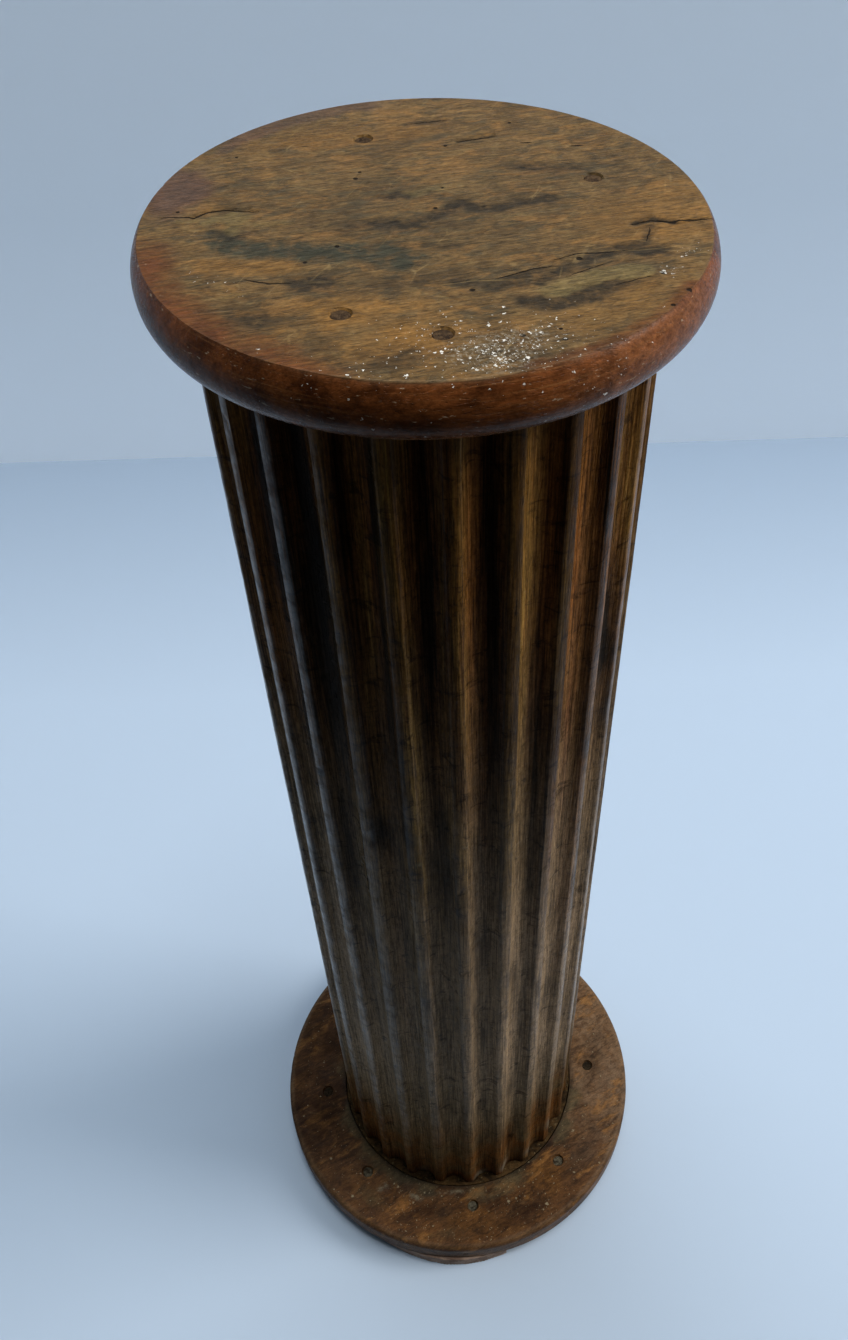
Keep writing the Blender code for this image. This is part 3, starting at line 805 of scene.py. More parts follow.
def build_shaft():
    """Build the shaft's points, faces and painted layers."""
    section_azimuth, section_radius, section_fillet, section_side = shaft_section()
    count = len(section_azimuth)
    heights = np.linspace(SHAFT_BOTTOM, SHAFT_TOP, SHAFT_ROWS + 1)
    azimuth = np.tile(section_azimuth, SHAFT_ROWS + 1)
    radius = np.tile(section_radius, SHAFT_ROWS + 1)
    fillet = np.tile(section_fillet, SHAFT_ROWS + 1)
    side = np.tile(section_side, SHAFT_ROWS + 1).astype(float)
    height = np.repeat(heights, count)
    zeros = np.zeros_like(height)
    edge_walk = layered_noise(
        np.stack([side * 7.3, zeros, height], axis=1) / np.array([1.0, 1.0, 0.09]), 1.0, 201, 4)
    azimuth += 0.30 * edge_walk
    depth_walk = layered_noise(
        np.stack([np.floor(side / 2.0) * 5.1, zeros, height / 0.16], axis=1), 1.0, 205, 3)
    radius += (1.0 - fillet) * 0.0005 * depth_walk
    turned = np.radians(azimuth)
    place = from_front(SHAFT_RADIUS, turned, height)
    radius -= 0.00018 * (1.0 + layered_noise(squeezed(place, 0.25), 0.006, 209, 3))
    dents = soft_step(0.62, 0.9, layered_noise(squeezed(place, 0.6), 0.007, 213, 2))
    radius -= 0.0008 * dents * fillet
    marks = (
        (-10.0, 0.620, 0.9, 0.0020, 0.0016), (5.6, 0.640, 1.8, 0.0015, 0.0010),
        (5.0, 0.590, 1.6, 0.0030, 0.0012), (20.6, 0.400, 1.8, 0.0014, 0.0012),
        (-41.0, 0.690, 1.2, 0.0025, 0.0014), (26.0, 0.108, 1.6, 0.0060, 0.0030),
        (64.0, 0.700, 3.0, 0.0200, 0.0005), (64.0, 0.770, 2.2, 0.0060, 0.0004),
        (-26.0, 0.640, 2.6, 0.0090, 0.0012))
    for mark_azimuth, mark_height, wide, high, deep in marks:
        radius -= deep * bump_at(azimuth, height, (mark_azimuth, mark_height), wide, high)
    putty = strongest(
        bump_at(azimuth, height, (9.5, 0.044), 3.0, 0.0060),
        0.9 * bump_at(azimuth, height, (22.0, 0.052), 2.6, 0.0080),
        0.8 * bump_at(azimuth, height, (52.0, 0.078), 3.2, 0.0130),
        0.8 * bump_at(azimuth, height, (36.0, 0.060), 2.2, 0.0070),
        0.6 * bump_at(azimuth, height, (-20.0, 0.047), 2.4, 0.0060))
    radius += 0.0012 * putty * (1.0 - fillet)
    radius = np.minimum(radius, SHAFT_RADIUS)
    turned = np.radians(azimuth)
    points = from_front(radius, turned, height)
    long_grain = squeezed(place, 0.035)
    number = np.floor(side / 2.0)
    per_flute = lattice_noise(np.stack([number * 3.7, zeros, height / 0.45], axis=1), 1.0, 217)
    low_part = soft_step(0.72, 0.16, height)
    rise = np.interp(
        height, (0.0, 0.07, 0.12, 0.20, 0.30, 0.45, 0.60, 0.75, 0.90),
        (0.03, 0.04, 0.09, 0.54, 0.95, 0.92, 0.52, 0.14, 0.03))
    facing = signed(azimuth)
    shown = np.interp(
        facing, (-180.0, -110.0, -75.0, -45.0, -36.0, -18.0, 0.0, 15.0, 32.0, 49.0, 70.0, 110.0, 180.0),
        (0.12, 0.16, 0.60, 1.0, 0.80, 0.72, 0.92, 0.98, 1.0, 1.0, 0.90, 0.28, 0.12))
    streaky = 0.5 + 0.5 * layered_noise(squeezed(place, 0.05), 0.004, 227, 3)
    bloom = np.clip(rise * shown * (0.50 + 0.62 * streaky) * (1.0 - 0.25 * fillet), 0.0, 1.0)
    sheen = fillet * np.interp(
        facing, (-90.0, -50.0, -38.0, -22.0, 0.0, 42.0, 70.0), (1.0, 1.0, 0.95, 0.55, 0.22, 0.24, 0.62))
    sheen *= np.where(azimuth < -48.0, np.interp(height, (0.1, 0.3, 0.6, 0.8), (0.2, 0.4, 0.8, 1.3)), 1.0)
    shaded = (
        fillet * soft_step(0.50, 0.75, height) * soft_step(8.0, 14.0, azimuth)
        * soft_step(44.0, 39.0, azimuth))
    shaded = np.maximum(shaded, soft_step(72.0, 100.0, np.abs(facing)))
    worn = soft_step(
        -0.30, 0.60, layered_noise(long_grain, 0.010, 221, 3) + 0.40 * (fillet - 0.5) + 0.4 * per_flute)
    gold = paint_marks(azimuth, height, GOLD_MARKS)
    red = paint_marks(azimuth, height, RED_MARKS)
    rust = strongest(
        bump_at(azimuth, height, (28.5, 0.085), 1.6, 0.035),
        0.5 * bump_at(azimuth, height, (18.0, 0.09), 3.0, 0.030),
        0.75 * soft_step(0.21, 0.09, height) * soft_step(-0.7, 0.2, layered_noise(place, 0.020, 225)))
    black = strongest(
        paint_marks(azimuth, height, BLACK_MARKS), soft_step(0.046, 0.038, height) * (1.0 - putty))
    scratch = strongest(
        bump_at(azimuth, height, (-9.5, 0.6225), 0.8, 0.0016),
        0.6 * bump_at(azimuth, height, (5.6, 0.642), 1.4, 0.0010),
        0.5 * bump_at(azimuth, height, (20.6, 0.4025), 1.6, 0.0010),
        0.6 * bump_at(azimuth, height, (-9.6, 0.652), 0.5, 0.010))
    layers = {"fillet": fillet, "worn": worn, "gold": gold, "red": red, "rust": rust, "black": black,
              "putty": putty, "scratch": scratch, "low": low_part, "bloom": bloom,
              "sheen": sheen, "shaded": shaded}
    return points, stacked_faces(SHAFT_ROWS + 1, count), layers


shaft_points, shaft_faces, shaft_paint = build_shaft()
hand_cut_shaft = add_piece(
    "hand_cut_shaft", shaft_points, shaft_faces, "fluted_shaft", shaft_paint, 40.0)

# %% [markdown]
# ## The base's shape
# The base is a round board with a rounded upper edge. The shaft stands in a shallow round housing, and the
# gap round its foot holds dark dirt. The rings of points lie about a millimetre apart on the face, so that
# dents, filler and the round seats of the fixings keep a clean shape.

# %% Build the base
BASE_SEGMENTS = 720
BASE_CELL = 0.0011
BASE_INNER_RINGS, BASE_UNDER_RING = (0.104, 0.112), 0.160
BASE_EDGE_STEPS, BASE_SIDE_STEPS = 7, 9
HOUSING_ROUND = 0.0006
BASE_SEAT_DEPTH = 0.0030


def base_rings():
    """List (radius, height) from the housing's floor out over the face and edge to the underside."""
    floor_height = BASE_TOP - HOUSING_DEPTH
    rings = [(radius, floor_height) for radius in (*BASE_INNER_RINGS, HOUSING_RADIUS - HOUSING_ROUND)]
    rings += [(HOUSING_RADIUS, BASE_TOP - 0.0040), (HOUSING_RADIUS, BASE_TOP - 0.0012)]
    rings.append((HOUSING_RADIUS + HOUSING_ROUND, BASE_TOP))
    face_start, face_end = HOUSING_RADIUS + 0.0015, BASE_RADIUS - BASE_EDGE_ROUND
    steps = int(round((face_end - face_start) / BASE_CELL))
    rings += [(face_start + (face_end - face_start) * step / steps, BASE_TOP) for step in range(steps + 1)]
    for step in range(1, BASE_EDGE_STEPS + 1):
        turn = math.radians(90.0 * step / BASE_EDGE_STEPS)
        fall = BASE_EDGE_ROUND * (1.0 - math.cos(turn))
        rings.append((face_end + BASE_EDGE_ROUND * math.sin(turn), BASE_TOP - fall))
    side_top = BASE_TOP - BASE_EDGE_ROUND
    side = side_top - BASE_BOTTOM - BASE_BEVEL
    rings += [
        (BASE_RADIUS, side_top - side * step / BASE_SIDE_STEPS) for step in range(1, BASE_SIDE_STEPS + 1)]
    rings += [(BASE_RADIUS - BASE_BEVEL, BASE_BOTTOM), (BASE_UNDER_RING, BASE_BOTTOM)]
    return rings


def build_base():
    """Build the base's points, faces and painted layers."""
    rings = base_rings()
    turns = np.arange(BASE_SEGMENTS) * 2.0 * math.pi / BASE_SEGMENTS
    radius = np.repeat([r for r, z in rings], BASE_SEGMENTS)
    height = np.repeat([z for r, z in rings], BASE_SEGMENTS)
    turn = np.tile(turns, len(rings))
    points = from_right(radius, turn, height)
    azimuth = np.degrees(np.arctan2(points[:, 0], -points[:, 1]))
    inset = BASE_RADIUS - radius
    on_top = (height > BASE_TOP - 0.00005)
    bevel_zone = (inset < BASE_EDGE_ROUND + 0.0001) & (height > BASE_BOTTOM + 0.0005)
    outward = -0.00018 * (1.0 + layered_noise(points, 0.03, 301)) * (inset < 0.03)
    nicks = soft_step(0.5, 0.85, layered_noise(points, 0.009, 303, 2)) * (inset < 0.008)
    outward -= 0.0008 * nicks
    scale = 1.0 + outward / (radius + 1e-9)
    points[:, 0] *= scale
    points[:, 1] *= scale
    drop = (
        0.00025 * (layered_noise(points, 0.030, 305) - 1.0)
        - 0.0004 * soft_step(0.5, 0.9, layered_noise(points, 0.006, 307, 2)))
    points[:, 2] += np.where(on_top | bevel_zone, drop, 0.0)
    near_shaft = soft_step(0.029, 0.004, radius - HOUSING_RADIUS)
    dust = strongest(
        0.85 * near_shaft * soft_step(-0.7, 0.3, layered_noise(points, 0.018, 311)),
        0.55 * soft_spot(points, (-0.100, -0.128), 0.0260, 0.0130, -40.0, 0.8, 0.8, 313),
        0.60 * soft_spot(points, (0.045, -0.125), 0.0350, 0.0080, 25.0, 0.7, 0.8, 315),
        0.50 * soft_spot(points, (-0.015, -0.168), 0.0260, 0.0070, 5.0, 0.8, 0.8, 317),
        0.30 * soft_step(0.012, 0.004, inset))
    grey = strongest(
        0.85 * soft_spot(points, (-0.054, -0.118), 0.0290, 0.0085, -28.0, 0.7, 0.7, 321),
        0.50 * soft_spot(points, (-0.015, -0.128), 0.0150, 0.0060, -5.0, 0.7, 0.7, 323),
        0.55 * soft_spot(points, (0.123, -0.098), 0.0100, 0.0140, -40.0, 0.8, 0.8, 325),
        0.35 * soft_spot(points, (-0.020, -0.150), 0.0080, 0.0200, 10.0, 0.9, 0.9, 327))
    orange = strongest(
        soft_spot(points, (0.092, -0.113), 0.0210, 0.0130, 42.0, 0.7, 0.7, 331),
        0.75 * soft_spot(points, (0.010, -0.158), 0.0300, 0.0140, 5.0, 0.8, 0.8, 333),
        0.60 * soft_spot(points, (-0.088, -0.125), 0.0240, 0.0100, -38.0, 0.8, 0.8, 335),
        0.70 * soft_step(60.0, 85.0, azimuth) * soft_step(150.0, 120.0, azimuth)
        * soft_step(-0.4, 0.3, layered_noise(points, 0.03, 337)),
        0.50 * soft_step(-60.0, -80.0, azimuth) * soft_step(-150.0, -110.0, azimuth)
        * soft_step(-0.2, 0.5, layered_noise(points, 0.02, 339)))
    blobs = strongest(
        soft_spot(points, (-0.081, -0.120), 0.0050, 0.0035, 20.0, 0.8, 0.6, 341),
        soft_spot(points, (-0.046, -0.131), 0.0055, 0.0030, -20.0, 0.8, 0.6, 343),
        0.8 * soft_spot(points, (-0.010, -0.127), 0.0140, 0.0020, 0.0, 0.8, 0.6, 345),
        soft_spot(points, (-0.0555, -0.170), 0.0036, 0.0011, 5.0, 0.3, 0.3, 347))
    points[:, 2] += 0.0004 * blobs * on_top
    points[:, 2] = np.minimum(points[:, 2], BASE_TOP)
    spatter = (
        0.16 + 0.22 * soft_step(-0.03, -0.13, points[:, 1])
        + 0.25 * soft_spot(points, (0.0, -0.150), 0.0800, 0.0250, 0.0, 0.6, 0.9, 349))
    wear = np.exp(-(((inset - BASE_EDGE_ROUND * 0.55) / 0.0022) ** 2)) * (height > BASE_BOTTOM + 0.004)
    ragged = layered_noise(points, 0.012, 351)
    dirt = strongest(
        soft_step(0.0070, 0.0005, radius - HOUSING_RADIUS + 0.003 * ragged) * (0.60 + 0.35 * ragged),
        (radius < HOUSING_RADIUS + 0.0004).astype(float))
    dirt = np.clip(dirt, 0.0, 1.0)
    # Partly painted shade: the band darkens the base's left and back left, away from the lamp; the spots are
    # dark patches.
    soot_and_shade = strongest(
        soft_step(-35.0, -75.0, azimuth) * soft_step(-170.0, -120.0, azimuth)
        * (0.55 + 0.45 * layered_noise(points, 0.035, 353)),
        0.7 * soft_spot(points, (0.150, 0.010), 0.0250, 0.0100, 70.0, 0.8, 0.8, 355),
        0.5 * soft_spot(points, (-0.030, -0.145), 0.0200, 0.0100, 10.0, 0.9, 0.8, 357),
        0.6 * soft_spot(points, (0.060, -0.150), 0.0250, 0.0070, 30.0, 0.9, 0.8, 359))
    # Painted sheen: the base's right side, towards the lamp, is painted paler.
    right_sheen = (
        soft_step(38.0, 78.0, azimuth) * soft_step(150.0, 115.0, azimuth)
        * np.clip(0.65 + 0.5 * layered_noise(points, 0.022, 361), 0.0, 1.0))
    layers = {
        "right_sheen": right_sheen, "soot_and_shade": soot_and_shade, "dust": dust, "grey": grey, "orange": orange, "blobs": blobs,
        "spatter": spatter * on_top, "wear": wear, "dirt": dirt}
    countersink(points, BASE_TOP, BASE_PLUGS, BASE_CELL, BASE_SEAT_DEPTH)
    return points, stacked_faces(len(rings), BASE_SEGMENTS, downward=True), layers


base_points, base_faces, base_paint = build_base()
worn_base = add_piece("worn_base", base_points, base_faces, "base_disc", base_paint, 45.0)

# %% [markdown]
# ## The dirt round the shaft's foot
# The shaft stands in its housing with a little play. Old polish, glue and dirt fill the play and the feet
# of the flutes nearly flush, and only a thin dark groove stays open at the outer wall. The fill is a lumpy
# ring that slopes down into that groove.

# %% Build the fill
FILL_SEGMENTS = 480
FILL_INNER_RADIUS = SHAFT_RADIUS - FLUTE_DEPTH - 0.0010
FILL_DEPTH = -0.0040
FILL_CROWN = (
    (-0.0045, -0.0001), (-0.0025, -0.0002), (-0.0008, -0.0003), (0.0006, -0.0003),
    (0.0018, -0.0003), (0.0026, -0.0007), (0.0027, FILL_DEPTH))


def build_fill():
    """Build the points and faces of the ring of packed dirt."""
    profile = [(FILL_INNER_RADIUS, -0.0002)]
    profile += [(SHAFT_RADIUS + outward, rise) for outward, rise in FILL_CROWN]
    profile.append((FILL_INNER_RADIUS, FILL_DEPTH))
    turns = np.tile(np.arange(FILL_SEGMENTS) * 2.0 * math.pi / FILL_SEGMENTS, len(profile))
    radius = np.repeat([r for r, z in profile], FILL_SEGMENTS)
    height = np.repeat([z for r, z in profile], FILL_SEGMENTS)
    points = from_right(radius, turns, BASE_TOP + height)
    lumps = layered_noise(points, 0.005, 381, 3)
    points[:, 2] += np.where(height > -0.003, np.minimum(0.0006 * (lumps - 0.6), -0.0001 - height), 0.0)
    stretch = np.where(
        radius > SHAFT_RADIUS + 0.0007, 1.0 + 0.005 * (layered_noise(points, 0.008, 383, 2) - 0.4), 1.0)
    stretch = np.minimum(stretch, (HOUSING_RADIUS - 0.0002) / radius)
    points[:, :2] *= stretch[:, None]
    faces = []
    for row in range(len(profile)):
        after = (row + 1) % len(profile)
        ring = ring_faces(row * FILL_SEGMENTS, after * FILL_SEGMENTS, FILL_SEGMENTS)
        faces += [face[::-1] for face in ring]
    return points, faces


fill_points, fill_faces = build_fill()
packed_dirt = add_piece("packed_dirt", fill_points, fill_faces, None)

# %% [markdown]
# ## The foot board's shape
# Under the base lies a rough-sawn board. Only its front shows: it stands a few millimetres proud there, and
# a piece is broken out beside it. Its outline comes from the solid's own rule, with saw marks and splinters
# on the cut edge.

# %% Build the foot board
FOOT_SETBACK, FOOT_LOBE_REACH, FOOT_LOBE_AZIMUTH, FOOT_LOBE_HALF_ANGLE = 0.0044, 0.0070, -4.0, 30.0
BREAK_START, BREAK_END, BREAK_SLANT, BREAK_DEPTH = 13.5, 46.0, 1.5, 0.0110
FOOT_FLAT = 6.0
FOOT_STEP = 0.5
FOOT_ROWS = 9
FOOT_INNER_SHARE, FOOT_EDGE_SHARE = 0.90, 0.995
SAW_DEPTH = 0.00025


def foot_reach(azimuth):
    """Give the foot board's radius at an azimuth in degrees: short sawn flats, a lobe and a break."""
    corner = math.floor(azimuth / FOOT_FLAT) * FOOT_FLAT

    def whole(angle):
        away = abs(angle - FOOT_LOBE_AZIMUTH) / FOOT_LOBE_HALF_ANGLE
        lobe = math.cos(math.radians(90.0 * away)) ** 2 if away < 1.0 else 0.0
        return BASE_RADIUS - FOOT_SETBACK + FOOT_LOBE_REACH * lobe

    first, second = whole(corner), whole(corner + FOOT_FLAT)
    turn, sweep = math.radians(azimuth - corner), math.radians(FOOT_FLAT)
    chord = first * second * math.sin(sweep) / (first * math.sin(turn) + second * math.sin(sweep - turn))
    inner = BASE_RADIUS - FOOT_SETBACK - BREAK_DEPTH
    into = (
        soft_step(BREAK_START, BREAK_START + BREAK_SLANT, azimuth)
        * soft_step(BREAK_END, BREAK_END - BREAK_SLANT, azimuth))
    return chord + (inner - chord) * float(into)


def build_foot():
    """Build the foot board's points and faces."""
    azimuths = np.arange(-180.0, 180.0, FOOT_STEP)
    reach = np.array([foot_reach(a) for a in azimuths])
    count = len(azimuths)
    rings = [(FOOT_INNER_SHARE, FOOT_TOP), (FOOT_EDGE_SHARE, FOOT_TOP)]
    rings += [
        (1.0, FOOT_TOP - 0.0002 - (FOOT_TOP - 0.0004) * row / FOOT_ROWS) for row in range(FOOT_ROWS + 1)]
    rings += [(FOOT_EDGE_SHARE, 0.0), (FOOT_INNER_SHARE, 0.0)]
    turn = np.radians(np.tile(azimuths, len(rings)))
    share = np.repeat([s for s, z in rings], count)
    height = np.repeat([z for s, z in rings], count)
    radius = np.tile(reach, len(rings)) * share
    place = from_front(radius, turn, height)
    rough = share > 0.99
    saw = SAW_DEPTH * (1.0 + np.sin(np.degrees(turn) * 6.0 + 0.8 * layered_noise(place, 0.01, 401)))
    radius -= rough * (saw + 0.0007 * soft_step(0.1, 0.9, layered_noise(squeezed(place, 2.0), 0.006, 403)))
    radius -= (
        rough * 0.0010 * soft_step(0.35, 0.8, layered_noise(place, 0.012, 405)) * (height > FOOT_TOP * 0.6))
    points = from_front(radius, turn, height)
    return points, stacked_faces(len(rings), count, downward=True)


foot_points, foot_faces = build_foot()
rough_foot = add_piece("rough_foot", foot_points, foot_faces, "foot_board", None, 50.0)

# %% [markdown]
# ## The plugs
# Round plugs close the holes over the fixings. In the top they are end-grain wood with a ragged face, and
# in the base they are sunk deeper and filled with grey filler that has shrunk from the wood.

# %% Build the plugs
PLUG_RINGS = 7
PLUG_POINTS = 28
PLUG_EDGE_DROP = 0.0009


def build_plug(name, node, seed, roughness, hollow):
    """Make one plug with an uneven face that is a little hollow or domed."""
    x, y, radius, top = plug_centre(node)
    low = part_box(node)[0][2]
    points = [(0.0, 0.0, top)]
    for ring in range(1, PLUG_RINGS + 1):
        for step in range(PLUG_POINTS):
            turn = 2.0 * math.pi * step / PLUG_POINTS
            reach = radius * ring / PLUG_RINGS
            points.append((reach * math.cos(turn), reach * math.sin(turn), top))
    points = np.array(points)
    share = np.hypot(points[:, 0], points[:, 1]) / radius
    moved = points + np.array([x, y, 0.0])
    points[:, 2] -= roughness * (1.0 + layered_noise(moved, 0.003, seed)) + hollow * (1.0 - share ** 2)
    points[:, 2] -= PLUG_EDGE_DROP * soft_step(0.80, 1.0, share)
    skirt = points[-PLUG_POINTS:].copy()
    skirt[:, 2] = low
    points = np.concatenate([points, skirt]) + np.array([x, y, 0.0])
    faces = [(0, 1 + step, 1 + (step + 1) % PLUG_POINTS) for step in range(PLUG_POINTS)]
    for ring in range(PLUG_RINGS):
        first = 1 + ring * PLUG_POINTS
        faces += [face[::-1] for face in ring_faces(first, first + PLUG_POINTS, PLUG_POINTS)]
    faces.append([1 + PLUG_RINGS * PLUG_POINTS + step for step in reversed(range(PLUG_POINTS))])
    return add_piece(name, points, faces, node, None, 50.0)


wood_plugs, filled_plugs = [], []
for number in range(1, len(TOP_PLUGS) + 1):
    name, node, seed = "wood_plug_%d" % number, "top_plug_%d" % number, 500 + 7 * number
    wood_plugs.append(build_plug(name, node, seed, roughness=0.00018, hollow=0.0))
for number in range(1, len(BASE_PLUGS) + 1):
    name, node, seed = "filled_plug_%d" % number, "base_plug_%d" % number, 600 + 7 * number
    filled_plugs.append(build_plug(name, node, seed, roughness=0.00015, hollow=0.0004))

# %% [markdown]
# ## Tools for materials
# Every finish below is a node tree. A few short helpers add a node, set its values and join it, so that a
# material reads like a recipe: this colour, then that one where the layer says so.

# %% Node helpers
class Recipe:
    """Short calls that add nodes to one tree and join them."""

    def __init__(self, tree):
        self.tree = tree

    def add(self, kind, **settings):
        node = self.tree.nodes.new(kind)
        for name, value in settings.items():
            setattr(node, name, value)
        return node

    def feed(self, socket, value):
        if isinstance(value, bpy.types.NodeSocket):
            self.tree.links.new(value, socket)
        elif isinstance(value, tuple) and socket.type == "RGBA" and len(value) == 3:
            socket.default_value = (*value, 1.0)
        else:
            socket.default_value = value

    def number(self, operation, *values, clamp=False):
        node = self.add("ShaderNodeMath", operation=operation, use_clamp=clamp)
        for socket, value in zip(node.inputs, values):
            self.feed(socket, value)
        return node.outputs[0]

    def times(self, *values, clamp=False):
        return self.number("MULTIPLY", *values, clamp=clamp)

    def plus(self, *values, clamp=False):
        return self.number("ADD", *values, clamp=clamp)

    def minus(self, *values):
        return self.number("SUBTRACT", *values)

    def most(self, *values):
        return self.number("MAXIMUM", *values)

    def times_plus(self, *values):
        return self.number("MULTIPLY_ADD", *values)

    def vector(self, operation, *values):
        node = self.add("ShaderNodeVectorMath", operation=operation)
        for socket, value in zip(node.inputs, values):
            self.feed(socket, value)
        return node.outputs[0]

    def mix(self, factor, first, second, blend="MIX"):
        node = self.add("ShaderNodeMix", data_type="RGBA", blend_type=blend)
        self.feed(node.inputs["Factor"], factor)
        self.feed(node.inputs[6], first)
        self.feed(node.inputs[7], second)
        return node.outputs[2]

    def lay(self, paint, mask, over, share=None):
        return self.mix(mask if share is None else self.times(mask, share), over, paint)

    def spread(self, value, low, high, to_low=0.0, to_high=1.0):
        node = self.add("ShaderNodeMapRange", interpolation_type="SMOOTHSTEP")
        names = ("Value", "From Min", "From Max", "To Min", "To Max")
        for name, number in zip(names, (value, low, high, to_low, to_high)):
            self.feed(node.inputs[name], number)
        return node.outputs[0]

    def noise(self, place, scale, detail=3.0, roughness=0.55, distortion=0.0):
        node = self.add("ShaderNodeTexNoise")
        names = ("Vector", "Scale", "Detail", "Roughness", "Distortion")
        for name, number in zip(names, (place, scale, detail, roughness, distortion)):
            self.feed(node.inputs[name], number)
        return node.outputs["Fac"]

    def streaks(self, place, stretch, detail=3.0, roughness=0.55, distortion=0.0):
        return self.noise(self.vector("MULTIPLY", place, stretch), 1.0, detail, roughness, distortion)

    def layer(self, name):
        return self.add("ShaderNodeAttribute", attribute_name=name).outputs["Fac"]

    def group(self, tree, **values):
        node = self.add("ShaderNodeGroup", node_tree=tree)
        for name, value in values.items():
            self.feed(node.inputs[name.replace("_", " ")], value)
        return node


def new_group(name, inputs, outputs):
    """Start a node group with named sockets; give its recipe, its input sockets and a way to end it."""
    tree = bpy.data.node_groups.new(name, "ShaderNodeTree")
    for label, kind in inputs:
        tree.interface.new_socket(label, in_out="INPUT", socket_type=kind)
    for label, kind in outputs:
        tree.interface.new_socket(label, in_out="OUTPUT", socket_type=kind)
    recipe = Recipe(tree)
    entry = recipe.add("NodeGroupInput")
    leave = recipe.add("NodeGroupOutput")
    print("group", name, "takes", [pair[0] for pair in inputs], "and gives", [pair[0] for pair in outputs])
    return tree, recipe, entry.outputs, leave.inputs


NUMBER, VECTOR = "NodeSocketFloat", "NodeSocketVector"

# %% [markdown]
# ## Wood grain
# All pieces but the filler are wood. Fibres run along the grain as long thin streaks, growth bands change
# the tone over a centimetre or two, and pores are short dark dashes. Each is noise that is stretched along
# the grain, so the group expects a place whose X runs along the grain.

# %% The grain group
grain_group, g, given, result = new_group(
    "wood_grain", [("Grain Place", VECTOR), ("Fineness", NUMBER)],
    [("Fibres", NUMBER), ("Bands", NUMBER), ("Pores", NUMBER), ("Height", NUMBER)])
place = g.vector("SCALE", given["Grain Place"])
g.feed(place.node.inputs["Scale"], given["Fineness"])
wobble = g.add("ShaderNodeTexNoise")
g.feed(wobble.inputs["Vector"], g.vector("MULTIPLY", place, (5.0, 22.0, 22.0)))
bend = g.vector("SCALE", g.vector("SUBTRACT", wobble.outputs["Color"], (0.5, 0.5, 0.5)))
bend.node.inputs["Scale"].default_value = 0.006
place = g.vector("ADD", place, bend)
fibres = g.streaks(place, (26.0, 620.0, 620.0), 5.0, 0.65)
bands = g.streaks(place, (4.0, 75.0, 75.0), 3.0, 0.55, 0.4)
pores = g.spread(g.streaks(place, (110.0, 1500.0, 1500.0), 1.0, 0.5), 0.60, 0.72)
g.feed(result["Fibres"], g.spread(fibres, 0.25, 0.75))
g.feed(result["Bands"], g.spread(bands, 0.30, 0.70))
g.feed(result["Pores"], pores)
g.feed(result["Height"], g.minus(g.times(fibres, 0.6), g.times(pores, 0.5)))

# %% [markdown]
# ## Paint spatter
# Somebody painted a ceiling over this column once. Small white drops lie thick in one place and thin out
# round it. A cell pattern gives each drop a random middle; a random number for each cell says whether it
# holds a drop, and how large.

# %% The spatter group
spatter_group, g, given, result = new_group(
    "paint_spatter", [("Place", VECTOR), ("Amount", NUMBER), ("Cells", NUMBER)], [("Drops", NUMBER)])
wobble = g.add("ShaderNodeTexNoise")
g.feed(wobble.inputs["Vector"], given["Place"])
g.feed(wobble.inputs["Scale"], 900.0)
shift = g.vector("SCALE", g.vector("SUBTRACT", wobble.outputs["Color"], (0.5, 0.5, 0.5)))
shift.node.inputs["Scale"].default_value = 0.0028
cells = g.add("ShaderNodeTexVoronoi", feature="F1")
g.feed(cells.inputs["Vector"], g.vector("ADD", given["Place"], shift))
g.feed(cells.inputs["Scale"], given["Cells"])
parts = g.add("ShaderNodeSeparateColor")
g.feed(parts.inputs[0], cells.outputs["Color"])
size = g.times_plus(g.number("POWER", parts.outputs[1], 2.5), 0.26, 0.14)
chosen = g.number("LESS_THAN", parts.outputs[0], given["Amount"])
drop = g.minus(1.0, g.spread(g.number("DIVIDE", cells.outputs["Distance"], size), 0.8, 1.15))
g.feed(result["Drops"], g.times(drop, chosen))

# %% [markdown]
# ## Worm holes and cracks
# Wood beetles left round holes a millimetre or two wide, and drying opened cracks along the grain. The
# painted layers say how far it is to the nearest one and how wide that one is. The groups turn this into
# sharp marks: a hole where the way to its middle is shorter than its radius, and a crack that wanders a
# little and thins out.

# %% The hole and crack groups
hole_group, g, given, result = new_group(
    "worm_hole", [("Way X", NUMBER), ("Way Y", NUMBER), ("Radius", NUMBER)], [("Hole", NUMBER)])
square = g.plus(g.times(given["Way X"], given["Way X"]), g.times(given["Way Y"], given["Way Y"]))
way = g.number("SQRT", square)
filled = g.number("GREATER_THAN", given["Radius"], 0.1)
edge = g.spread(g.number("DIVIDE", way, g.most(given["Radius"], 0.1)), 0.75, 1.2)
g.feed(result["Hole"], g.times(g.minus(1.0, edge), filled))

crack_group, g, given, result = new_group(
    "drying_crack", [("Place", VECTOR), ("Side", NUMBER), ("Half Width", NUMBER), ("Wander", NUMBER)],
    [("Crack", NUMBER)])
wobble = g.minus(g.noise(given["Place"], 330.0, 4.0, 0.7), 0.5)
offset = g.number("ABSOLUTE", g.plus(given["Side"], g.times(wobble, given["Wander"])))
open_share = g.spread(given["Half Width"], 0.02, 0.10)
edge = g.spread(g.number("DIVIDE", offset, g.most(given["Half Width"], 0.05)), 0.5, 1.3)
g.feed(result["Crack"], g.times(g.minus(1.0, edge), open_share))

# %% [markdown]
# ## Scratches and grit
# A hundred years of small knocks leave thin pale scratches that lie in all directions, and dirt rubbed into
# the open grain makes the tone flicker from spot to spot. Scratches are the borders of long thin cells, of
# which only some are kept. Grit is a grey that the material multiplies with its colour.

